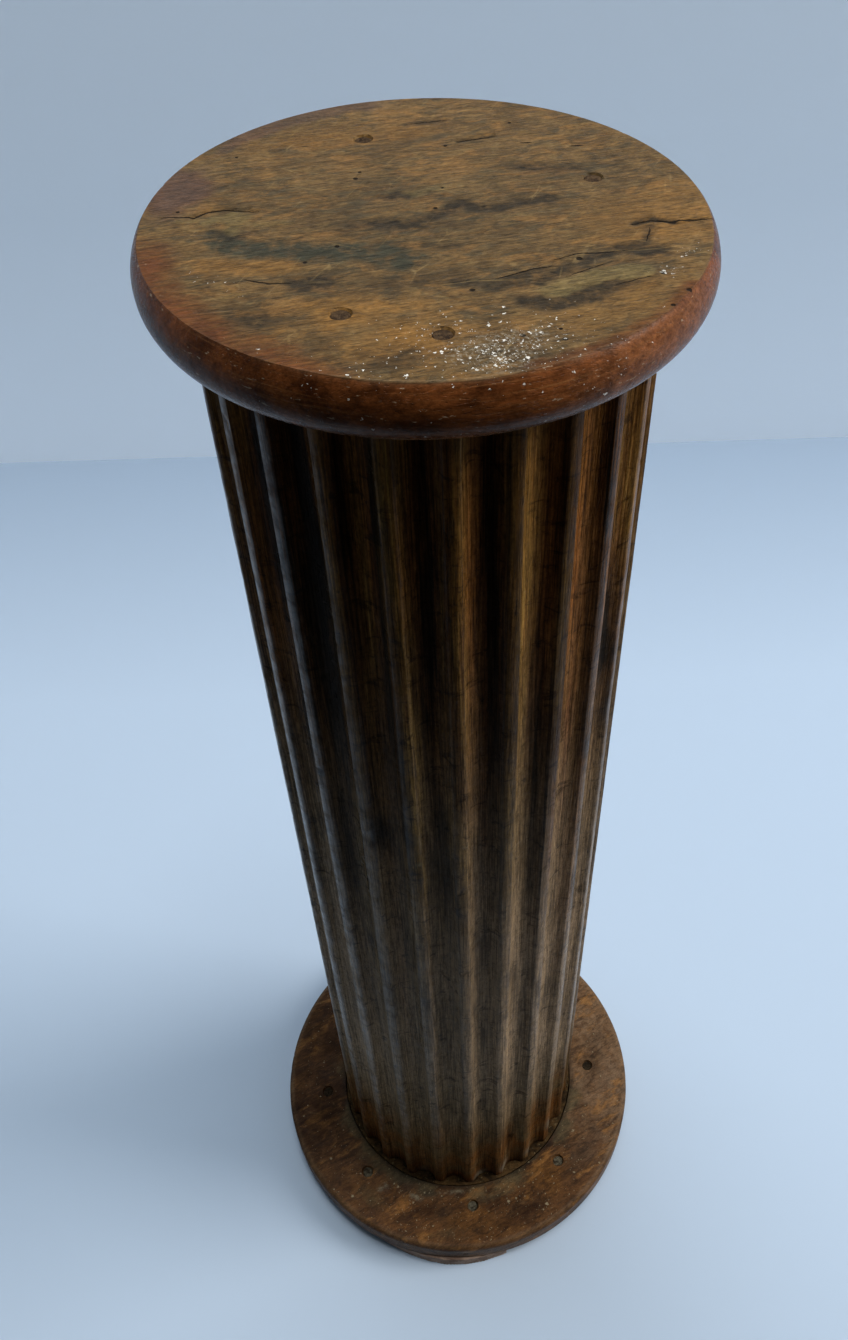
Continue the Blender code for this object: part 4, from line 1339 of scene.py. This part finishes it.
# %% The scratch and grit groups
scratch_group, g, given, result = new_group(
    "fine_scratches", [("Place", VECTOR), ("Spacing", NUMBER), ("Share", NUMBER)], [("Scratches", NUMBER)])
total = None
for turn, long, seed in ((38.0, 0.16, 3.1), (-52.0, 0.22, 9.4), (6.0, 0.10, 5.7)):
    spin = g.add("ShaderNodeVectorRotate", rotation_type="Z_AXIS")
    g.feed(spin.inputs["Vector"], given["Place"])
    spin.inputs["Angle"].default_value = math.radians(turn)
    squeezed = g.vector("ADD", g.vector("MULTIPLY", spin.outputs[0], (long, 1.0, 1.0)), (seed, seed, 0.0))
    lines = g.add("ShaderNodeTexVoronoi", feature="DISTANCE_TO_EDGE")
    g.feed(lines.inputs["Vector"], squeezed)
    g.feed(lines.inputs["Scale"], given["Spacing"])
    kept = g.spread(g.noise(squeezed, 130.0, 2.0, 0.5), g.minus(0.75, g.times(given["Share"], 0.35)), 0.75)
    mark = g.times(g.minus(1.0, g.spread(lines.outputs["Distance"], 0.010, 0.050)), kept)
    total = mark if total is None else g.most(total, mark)
g.feed(result["Scratches"], total)

grit_group, g, given, result = new_group(
    "rubbed_grit", [("Place", VECTOR), ("Contrast", NUMBER)], [("Tone", "NodeSocketColor")])
coarse = g.streaks(given["Place"], (150.0, 330.0, 330.0), 5.0, 0.7)
fine = g.streaks(given["Place"], (500.0, 1100.0, 1100.0), 2.0, 0.7)
wave = g.plus(g.times(g.minus(coarse, 0.5), 2.6), g.times(g.minus(fine, 0.5), 1.8))
tone = g.times_plus(wave, given["Contrast"], 1.0)
grey = g.add("ShaderNodeCombineColor")
for socket in grey.inputs:
    g.feed(socket, g.most(tone, 0.15))
g.feed(result["Tone"], grey.outputs[0])

# %% [markdown]
# ## Worn varnish and settled dust
# Old varnish survives in patches: it is dark, a little red and glossy where it is whole, and thin and brown
# where hands wore it. Dust settles in hollows and on faces that look up. Both groups give masks that a
# material uses to choose between its own colours and roughness.

# %% The varnish and dust groups
varnish_group, g, given, result = new_group(
    "worn_varnish", [("Grain Place", VECTOR), ("Cover", NUMBER), ("Patchiness", NUMBER)],
    [("Whole", NUMBER), ("Thin", NUMBER)])
patches = g.streaks(given["Grain Place"], (38.0, 110.0, 110.0), 6.0, 0.65, 0.5)
fine = g.streaks(given["Grain Place"], (130.0, 900.0, 900.0), 3.0, 0.6)
mixed = g.plus(g.times(g.minus(patches, 0.5), given["Patchiness"]), g.times(g.minus(fine, 0.5), 0.35))
level = g.plus(given["Cover"], mixed)
g.feed(result["Whole"], g.spread(level, 0.35, 0.65))
g.feed(result["Thin"], g.spread(level, 0.05, 0.50))

dust_group, g, given, result = new_group(
    "settled_dust", [("Place", VECTOR), ("Amount", NUMBER)], [("Dust", NUMBER)])
cloud = g.noise(given["Place"], 55.0, 6.0, 0.7)
speck = g.noise(given["Place"], 900.0, 2.0, 0.6)
level = g.plus(
    g.times(given["Amount"], 1.15),
    g.plus(g.times(g.minus(cloud, 0.5), 0.7), g.times(g.minus(speck, 0.5), 0.35)))
g.feed(result["Dust"], g.spread(level, 0.35, 1.05))


def start_material(name, gloss):
    """Start an empty material; give it with its recipe, its shader and the place on the object."""
    material = bpy.data.materials.new(name)
    material.use_nodes = True
    recipe = Recipe(material.node_tree)
    shader = material.node_tree.nodes["Principled BSDF"]
    shader.inputs["Specular IOR Level"].default_value = gloss
    where = recipe.add("ShaderNodeTexCoord").outputs["Object"]
    return material, recipe, shader, where


def turned_place(recipe, where, turn):
    """Turn the place about Z so that X runs along the grain."""
    node = recipe.add("ShaderNodeVectorRotate", rotation_type="Z_AXIS")
    recipe.feed(node.inputs["Vector"], where)
    node.inputs["Angle"].default_value = -math.radians(turn)
    return node.outputs[0]


def paint_drops(recipe, where, share, cells):
    """Give the mask of the paint drops of one size, thick where the spatter layer says so."""
    amount = recipe.times(recipe.layer("spatter"), share)
    return recipe.group(spatter_group, Place=where, Amount=amount, Cells=cells).outputs[0]


def end_material(recipe, shader, colour, roughness, height, deep):
    """Join colour, roughness and bump to the shader."""
    bump = recipe.add("ShaderNodeBump")
    bump.inputs["Strength"].default_value = 1.0
    bump.inputs["Distance"].default_value = deep
    recipe.feed(bump.inputs["Height"], height)
    recipe.feed(shader.inputs["Normal"], bump.outputs[0])
    recipe.feed(shader.inputs["Base Color"], colour)
    recipe.feed(shader.inputs["Roughness"], roughness)


# %% [markdown]
# ## The top's finish
# The varnish on the flat has gone, and the bare wood is tan with an olive cast, orange where it was rubbed
# and grey-green where wet pots stood. The edge keeps its dark red-brown varnish. Colours are laid one over
# another in the order in which they came: wood, stains, filler, varnish, wear, holes, and at last the white
# paint.

# %% The top's material
def dress_top():
    """Make the material of the top."""
    material, r, shader, where = start_material("worn_top_finish", 0.08)
    grain_place = turned_place(r, where, GRAIN_TURN)
    grain = r.group(grain_group, Grain_Place=grain_place, Fineness=1.0)
    fibres, bands, pores, grain_height = (grain.outputs[n] for n in ("Fibres", "Bands", "Pores", "Height"))
    cloud = r.noise(where, 28.0, 5.0, 0.6)
    mottle = r.noise(where, 140.0, 4.0, 0.65)
    colour = r.mix(r.spread(cloud, 0.30, 0.70), (0.082, 0.050, 0.021), (0.215, 0.124, 0.044))
    colour = r.lay((0.140, 0.075, 0.024), bands, over=colour, share=0.45)
    colour = r.lay((0.062, 0.036, 0.014), r.minus(1.0, fibres), over=colour, share=0.50)
    colour = r.lay((0.240, 0.160, 0.065), r.spread(mottle, 0.45, 0.70), over=colour, share=0.30)
    soaked = r.spread(r.streaks(grain_place, (42.0, 95.0, 95.0), 6.0, 0.7, 1.3), 0.49, 0.62)
    colour = r.lay((0.060, 0.047, 0.026), soaked, over=colour, share=0.66)
    glow = r.spread(r.streaks(grain_place, (38.0, 70.0, 70.0), 5.0, 0.65, 1.0), 0.50, 0.66)
    colour = r.lay((0.280, 0.135, 0.036), glow, over=colour, share=0.45)
    colour = r.lay((0.270, 0.125, 0.026), r.layer("warm"), over=colour, share=0.65)
    broken = r.plus(0.78, r.times(r.minus(mottle, 0.5), 2.6))
    stain = r.times(r.layer("stain"), r.times(broken, 1.2), clamp=True)
    colour = r.lay((0.038, 0.038, 0.024), stain, over=colour, share=0.92)
    dark = r.times(r.layer("dark"), r.times(broken, 1.55), clamp=True)
    colour = r.lay((0.030, 0.022, 0.013), dark, over=colour, share=0.92)
    pale = r.times(r.layer("pale"), r.plus(0.85, r.times(r.minus(mottle, 0.5), 0.8)), clamp=True)
    colour = r.lay(
        r.mix(fibres, (0.125, 0.090, 0.034), (0.205, 0.148, 0.058)), pale, over=colour, share=0.80)
    colour = r.lay((0.040, 0.026, 0.014), pores, over=colour, share=0.45)
    rubbed = r.group(scratch_group, Place=grain_place, Spacing=150.0, Share=0.55).outputs[0]
    colour = r.lay((0.300, 0.200, 0.080), rubbed, over=colour, share=0.35)
    cover = r.group(
        varnish_group, Grain_Place=grain_place, Cover=r.times(r.layer("varnish"), 0.95), Patchiness=0.55)
    thin = r.times(cover.outputs["Thin"], r.spread(r.layer("varnish"), 0.05, 0.35))
    whole = r.times(cover.outputs["Whole"], r.spread(r.layer("varnish"), 0.20, 0.60))
    colour = r.lay(
        r.mix(bands, (0.090, 0.030, 0.008), (0.125, 0.045, 0.012)), thin, over=colour, share=0.80)
    patches = r.spread(r.noise(where, 45.0, 4.0, 0.6), 0.35, 0.65)
    skin = r.mix(patches, (0.044, 0.011, 0.003), (0.160, 0.047, 0.012))
    colour = r.lay(skin, whole, over=colour, share=0.90)
    # Painted highlight on the rim's front right, on the lamp's side.
    rim_highlight = r.times(r.layer("rim_highlight"), r.spread(mottle, 0.30, 0.65, 0.35, 0.85))
    colour = r.lay((0.240, 0.090, 0.034), rim_highlight, over=colour)
    turned = r.streaks(where, (14.0, 14.0, 800.0), 4.0, 0.7)
    lathe = r.times(whole, r.spread(turned, 0.50, 0.72))
    colour = r.lay((0.230, 0.100, 0.034), lathe, over=colour, share=0.55)
    flecks = r.spread(r.streaks(where, (170.0, 170.0, 620.0), 3.0, 0.6), 0.665, 0.70)
    flecks = r.times(flecks, whole)
    colour = r.lay((0.420, 0.310, 0.200), flecks, over=colour, share=0.75)
    # Painted reflection greys the left rest and the back band.
    colour = r.lay((0.080, 0.064, 0.052), r.layer("grey_reflection"), over=colour, share=0.50)
    colour = r.lay((0.300, 0.200, 0.110), r.layer("wear"), over=colour, share=0.55)
    hole = r.group(
        hole_group, Way_X=r.layer("hole_x"), Way_Y=r.layer("hole_y"),
        Radius=r.layer("hole_radius")).outputs[0]
    crack = r.group(
        crack_group, Place=where, Side=r.layer("crack_side"), Half_Width=r.layer("crack_width"),
        Wander=1.8).outputs[0]
    marks = r.most(hole, crack)
    hatch = r.streaks(grain_place, (70.0, 560.0, 560.0), 4.0, 0.75)
    colour = r.mix(1.0, colour, r.spread(hatch, 0.32, 0.68, 0.74, 1.24), "MULTIPLY")
    colour = r.mix(
        1.0, colour, r.group(grit_group, Place=grain_place, Contrast=0.65).outputs[0], "MULTIPLY")
    colour = r.lay((0.010, 0.007, 0.005), marks, over=colour, share=0.93)
    big = paint_drops(r, where, 0.62, 430.0)
    small = paint_drops(r, where, 0.85, 760.0)
    powder = r.spread(r.noise(where, 520.0, 3.0, 0.7), 0.46, 0.66)
    powder = r.times(powder, r.spread(r.layer("spatter"), 0.12, 0.75))
    colour = r.lay((0.440, 0.380, 0.280), powder, over=colour, share=0.32)
    drops = r.most(big, small)
    colour = r.lay((0.78, 0.74, 0.66), drops, over=colour)
    roughness = r.plus(0.46, r.times(r.minus(mottle, 0.5), 0.25))
    roughness = r.minus(roughness, r.times(whole, 0.20))
    roughness = r.plus(roughness, r.times(r.most(drops, marks), 0.25), clamp=True)
    height = r.plus(r.times(grain_height, r.minus(0.75, r.times(whole, 0.45))), r.times(mottle, 0.45))
    height = r.minus(height, r.times(marks, 1.4))
    height = r.plus(height, r.times(drops, 0.35))
    end_material(r, shader, colour, roughness, height, 0.0007)
    return material


worn_top.data.materials.append(dress_top())

# %% [markdown]
# ## The shaft's finish
# The shaft is nearly black with old varnish. The fillets, which hands and skirts brushed, are worn to
# golden brown in long streaks, a few are red, and the lower third is grey with dust. The painted layers say
# where; the grain group breaks them up along the height.

# %% The shaft's material
def dress_shaft():
    """Make the material of the shaft."""
    material, r, shader, where = start_material("dark_shaft_finish", 0.015)
    split = r.add("ShaderNodeSeparateXYZ")
    r.feed(split.inputs[0], where)
    join = r.add("ShaderNodeCombineXYZ")
    r.feed(join.inputs[0], split.outputs[2])
    r.feed(join.inputs[1], split.outputs[0])
    r.feed(join.inputs[2], split.outputs[1])
    grain_place = join.outputs[0]
    grain = r.group(grain_group, Grain_Place=grain_place, Fineness=0.8)
    pores, grain_height = grain.outputs["Pores"], grain.outputs["Height"]
    cloud = r.noise(where, 20.0, 5.0, 0.6)
    worn = r.layer("worn")
    low = r.layer("low")
    wide_streaks = r.streaks(grain_place, (3.5, 95.0, 95.0), 4.0, 0.6)
    thin_streaks = r.streaks(grain_place, (14.0, 420.0, 420.0), 4.0, 0.65)
    # The fillet term makes the flutes lighter than the fillets: painted light that offsets the shade in the
    # hollow flutes.
    level = r.times_plus(worn, 0.42, r.times_plus(r.layer("fillet"), -0.28, 0.59))
    level = r.times_plus(r.minus(wide_streaks, 0.5), 1.5, level)
    level = r.times_plus(r.minus(thin_streaks, 0.5), 1.1, level)
    golden = r.times(r.layer("gold"), r.spread(thin_streaks, 0.30, 0.62, 0.20, 1.0))
    reddish = r.times(r.layer("red"), r.spread(thin_streaks, 0.28, 0.60, 0.25, 1.0))
    level = r.times_plus(r.most(golden, reddish), 0.35, level)
    level = r.minus(level, r.times(r.layer("black"), 0.75))
    tone = r.spread(r.streaks(grain_place, (2.0, 30.0, 30.0), 2.0, 0.5), 0.35, 0.65)
    higher = r.spread(split.outputs[2], 0.50, 0.88)
    brown = r.mix(
        higher, r.mix(tone, (0.120, 0.070, 0.026), (0.105, 0.070, 0.030)),
        r.mix(tone, (0.170, 0.068, 0.014), (0.140, 0.078, 0.018)))
    deep = r.mix(higher, (0.045, 0.027, 0.009), (0.085, 0.031, 0.006))
    colour = r.mix(r.spread(level, 0.05, 0.45), (0.0090, 0.0038, 0.0012), deep)
    colour = r.lay(brown, r.spread(level, 0.35, 0.90), over=colour)
    colour = r.lay((0.290, 0.175, 0.042), golden, over=colour, share=0.70)
    colour = r.lay((0.250, 0.074, 0.012), reddish, over=colour, share=0.75)
    cover = r.group(
        varnish_group, Grain_Place=grain_place, Cover=r.minus(1.0, r.times(worn, 0.75)), Patchiness=0.8)
    whole = cover.outputs["Whole"]
    dust = r.group(dust_group, Place=where, Amount=r.times_plus(low, 0.45, 0.12)).outputs[0]
    colour = r.lay((0.150, 0.098, 0.044), dust, over=colour, share=0.60)
    bloom = r.times(
        r.layer("bloom"),
        r.spread(r.streaks(grain_place, (9.0, 60.0, 60.0), 5.0, 0.65), 0.30, 0.60, 0.45, 1.0))
    colour = r.lay(r.mix(thin_streaks, (0.315, 0.203, 0.104), (0.520, 0.366, 0.228)), bloom, over=colour)
    colour = r.lay(
        (0.145, 0.048, 0.009), r.times(r.layer("rust"), r.spread(cloud, 0.25, 0.6), clamp=True), over=colour)
    nicks = r.spread(r.streaks(grain_place, (100.0, 62.0, 62.0), 6.0, 0.7, 0.9), 0.55, 0.66)
    colour = r.lay((0.008, 0.004, 0.0015), nicks, over=colour, share=0.60)
    colour = r.lay((0.008, 0.0035, 0.0012), r.layer("shaded"), over=colour, share=0.60)
    hairs = r.streaks(grain_place, (20.0, 850.0, 850.0), 3.0, 0.7)
    hair_share = r.times_plus(bloom, -0.45, 1.0)
    colour = r.mix(hair_share, colour, r.spread(hairs, 0.32, 0.68, 0.42, 1.60), "MULTIPLY")
    colour = r.mix(
        1.0, colour, r.group(grit_group, Place=grain_place, Contrast=0.60).outputs[0], "MULTIPLY")
    colour = r.lay((0.008, 0.005, 0.003), pores, over=colour, share=0.35)
    colour = r.lay((0.004, 0.002, 0.001), r.layer("black"), over=colour, share=0.60)
    colour = r.lay(
        r.mix(cloud, (0.120, 0.106, 0.076), (0.300, 0.270, 0.200)), r.layer("putty"), over=colour,
        share=0.85)
    colour = r.lay((0.330, 0.250, 0.120), r.layer("scratch"), over=colour, share=0.85)
    roughness = r.times_plus(dust, 0.18, 0.27)
    roughness = r.plus(roughness, r.times(r.minus(1.0, whole), 0.08))
    roughness = r.plus(roughness, r.times(r.minus(cloud, 0.5), 0.30), clamp=True)
    height = r.plus(r.times(grain_height, 0.9), r.times(r.noise(where, 160.0, 4.0, 0.6), 0.5))
    height = r.times_plus(thin_streaks, 0.8, height)
    polish = r.times(
        r.layer("sheen"), r.spread(r.noise(where, 75.0, 5.0, 0.7), 0.36, 0.64, 0.15, 0.75), clamp=True)
    r.feed(shader.inputs["Coat Weight"], polish)
    shader.inputs["Coat Roughness"].default_value = 0.30
    shader.inputs["Coat IOR"].default_value = 1.38
    shader.inputs["Specular Tint"].default_value = (1.0, 0.86, 0.66, 1.0)
    end_material(r, shader, colour, roughness, height, 0.0007)
    return material


hand_cut_shaft.data.materials.append(dress_shaft())

# %% [markdown]
# ## The base's finish
# The base was varnished red-brown. Feet wore it to orange in places, and dust and old polish turned grey in
# the ring round the shaft. The housing's edge is black with dirt, and the paint spatter reached down here
# too.

# %% The base's material
def dress_base():
    """Make the material of the base."""
    material, r, shader, where = start_material("worn_base_finish", 0.08)
    grain_place = turned_place(r, where, 28.0)
    grain = r.group(grain_group, Grain_Place=grain_place, Fineness=0.9)
    fibres, bands, pores, grain_height = (grain.outputs[n] for n in ("Fibres", "Bands", "Pores", "Height"))
    cloud = r.noise(where, 32.0, 6.0, 0.65)
    mottle = r.noise(where, 120.0, 4.0, 0.65)
    colour = r.mix(r.spread(cloud, 0.30, 0.70), (0.048, 0.021, 0.008), (0.150, 0.066, 0.020))
    colour = r.lay((0.070, 0.024, 0.006), bands, over=colour, share=0.4)
    orange = r.times(r.layer("orange"), r.plus(0.8, r.times(r.minus(mottle, 0.5), 1.4)), clamp=True)
    colour = r.lay((0.150, 0.062, 0.012), orange, over=colour, share=0.75)
    colour = r.lay((0.020, 0.009, 0.003), r.minus(1.0, fibres), over=colour, share=0.40)
    colour = r.lay((0.016, 0.009, 0.005), pores, over=colour, share=0.4)
    # Painted sheen on the base's right side, towards the lamp.
    right_sheen = r.times(r.layer("right_sheen"), r.spread(mottle, 0.30, 0.62, 0.25, 0.75))
    colour = r.lay((0.215, 0.138, 0.080), right_sheen, over=colour)
    soaked = r.spread(r.streaks(grain_place, (34.0, 80.0, 80.0), 6.0, 0.7, 1.2), 0.48, 0.62)
    colour = r.lay((0.020, 0.009, 0.0035), soaked, over=colour, share=0.62)
    glow = r.spread(r.streaks(grain_place, (35.0, 90.0, 90.0), 4.0, 0.65, 0.4), 0.52, 0.68)
    colour = r.lay((0.260, 0.116, 0.029), glow, over=colour, share=0.60)
    # Painted shade on the base's left and back left, with dark patches, darkens the colour here.
    soot_and_shade = r.times(r.layer("soot_and_shade"), r.spread(mottle, 0.30, 0.60, 0.55, 1.0))
    colour = r.lay((0.010, 0.004, 0.0015), soot_and_shade, over=colour, share=0.85)
    rubbed = r.group(scratch_group, Place=grain_place, Spacing=130.0, Share=0.50).outputs[0]
    colour = r.lay((0.170, 0.100, 0.040), rubbed, over=colour, share=0.28)
    dust = r.group(dust_group, Place=where, Amount=r.layer("dust")).outputs[0]
    colour = r.lay((0.088, 0.070, 0.036), dust, over=colour, share=0.75)
    grey = r.times(r.layer("grey"), r.plus(0.8, r.times(r.minus(mottle, 0.5), 1.5)), clamp=True)
    colour = r.lay((0.032, 0.026, 0.017), grey, over=colour, share=0.75)
    colour = r.lay(
        (0.140, 0.085, 0.045), r.times(r.layer("wear"), r.spread(cloud, 0.30, 0.65, 0.15, 0.60)),
        over=colour)
    colour = r.lay(
        (0.165, 0.140, 0.090), r.times(r.layer("blobs"), r.spread(mottle, 0.42, 0.62, 0.05, 0.80)),
        over=colour)
    colour = r.lay((0.010, 0.008, 0.006), r.layer("dirt"), over=colour, share=0.92)
    colour = r.mix(
        1.0, colour, r.group(grit_group, Place=grain_place, Contrast=0.70).outputs[0], "MULTIPLY")
    big = paint_drops(r, where, 0.12, 260.0)
    small = paint_drops(r, where, 0.30, 620.0)
    drops = r.most(r.times(big, 0.9), small)
    colour = r.lay((0.330, 0.270, 0.160), drops, over=colour, share=0.75)
    roughness = r.plus(0.42, r.times(r.most(dust, soot_and_shade), 0.35))
    roughness = r.plus(roughness, r.times(r.minus(mottle, 0.5), 0.30), clamp=True)
    height = r.plus(r.times(grain_height, 0.55), r.times(mottle, 0.75))
    height = r.plus(height, r.times(drops, 0.35))
    end_material(r, shader, colour, roughness, height, 0.0008)
    return material


worn_base.data.materials.append(dress_base())

# %% [markdown]
# ## The foot board and the plugs
# The foot board is raw wood: grey, dry and rough from the saw. The top's plugs are dark end grain, and the
# base's holes are filled with a grey filler that gathers dust.

# %% The foot's and the plugs' materials
def dress_foot():
    """Make the material of the foot board."""
    material, r, shader, where = start_material("rough_foot_finish", 0.10)
    grain_place = turned_place(r, where, -8.0)
    grain = r.group(grain_group, Grain_Place=grain_place, Fineness=0.8)
    cloud = r.noise(where, 60.0, 5.0, 0.65)
    colour = r.mix(r.spread(cloud, 0.3, 0.7), (0.190, 0.120, 0.085), (0.400, 0.285, 0.215))
    colour = r.lay((0.080, 0.050, 0.036), grain.outputs["Pores"], over=colour, share=0.6)
    dust = r.group(dust_group, Place=where, Amount=0.35).outputs[0]
    colour = r.lay((0.440, 0.360, 0.290), dust, over=colour, share=0.5)
    height = r.plus(grain.outputs["Height"], r.noise(where, 420.0, 4.0, 0.7))
    end_material(r, shader, colour, 0.85, height, 0.0012)
    return material


def dress_fill():
    """Make the material of the old dirt and glue round the shaft's foot."""
    material, r, shader, where = start_material("packed_dirt_finish", 0.08)
    cloud = r.noise(where, 90.0, 5.0, 0.65)
    lumps = r.noise(where, 420.0, 4.0, 0.7)
    colour = r.mix(r.spread(cloud, 0.35, 0.65), (0.014, 0.008, 0.003), (0.070, 0.038, 0.013))
    colour = r.lay((0.150, 0.110, 0.055), r.spread(lumps, 0.58, 0.70), over=colour)
    colour = r.mix(1.0, colour, r.group(grit_group, Place=where, Contrast=0.70).outputs[0], "MULTIPLY")
    end_material(r, shader, colour, 0.85, r.plus(cloud, lumps), 0.0012)
    return material


def dress_plug(name, dark, light, roughness, scale):
    """Make the material of a plug, end grain or filler."""
    material, r, shader, where = start_material(name, 0.10)
    spots = r.noise(where, scale, 5.0, 0.7)
    colour = r.mix(r.spread(spots, 0.35, 0.65), dark, light)
    dust = r.group(dust_group, Place=where, Amount=0.25).outputs[0]
    colour = r.lay((0.200, 0.170, 0.120), dust, over=colour, share=0.4)
    height = r.plus(spots, r.noise(where, scale * 3.0, 3.0, 0.6))
    end_material(r, shader, colour, roughness, height, 0.0008)
    return material


SIDE_AZIMUTH = 60.0
rough_foot.data.materials.append(dress_foot())
packed_dirt.data.materials.append(dress_fill())
brown_end_grain = dress_plug("brown_end_grain", (0.024, 0.013, 0.007), (0.105, 0.062, 0.030), 0.75, 420.0)
grey_filler = dress_plug("grey_filler", (0.020, 0.014, 0.008), (0.120, 0.105, 0.070), 0.85, 330.0)
for plug in wood_plugs:
    plug.data.materials.append(brown_end_grain)
# Painted shade: plugs turned away from the front get a darker copy of the grey filler.
shaded_filler = dress_plug("shaded_filler", (0.005, 0.003, 0.0015), (0.034, 0.023, 0.012), 0.90, 330.0)
for plug, (x, y, _, _) in zip(filled_plugs, BASE_PLUGS):
    turned_away = abs(math.degrees(math.atan2(x, -y))) > SIDE_AZIMUTH
    plug.data.materials.append(shaded_filler if turned_away else grey_filler)
print("materials:", sorted(m.name for m in bpy.data.materials if m.users))
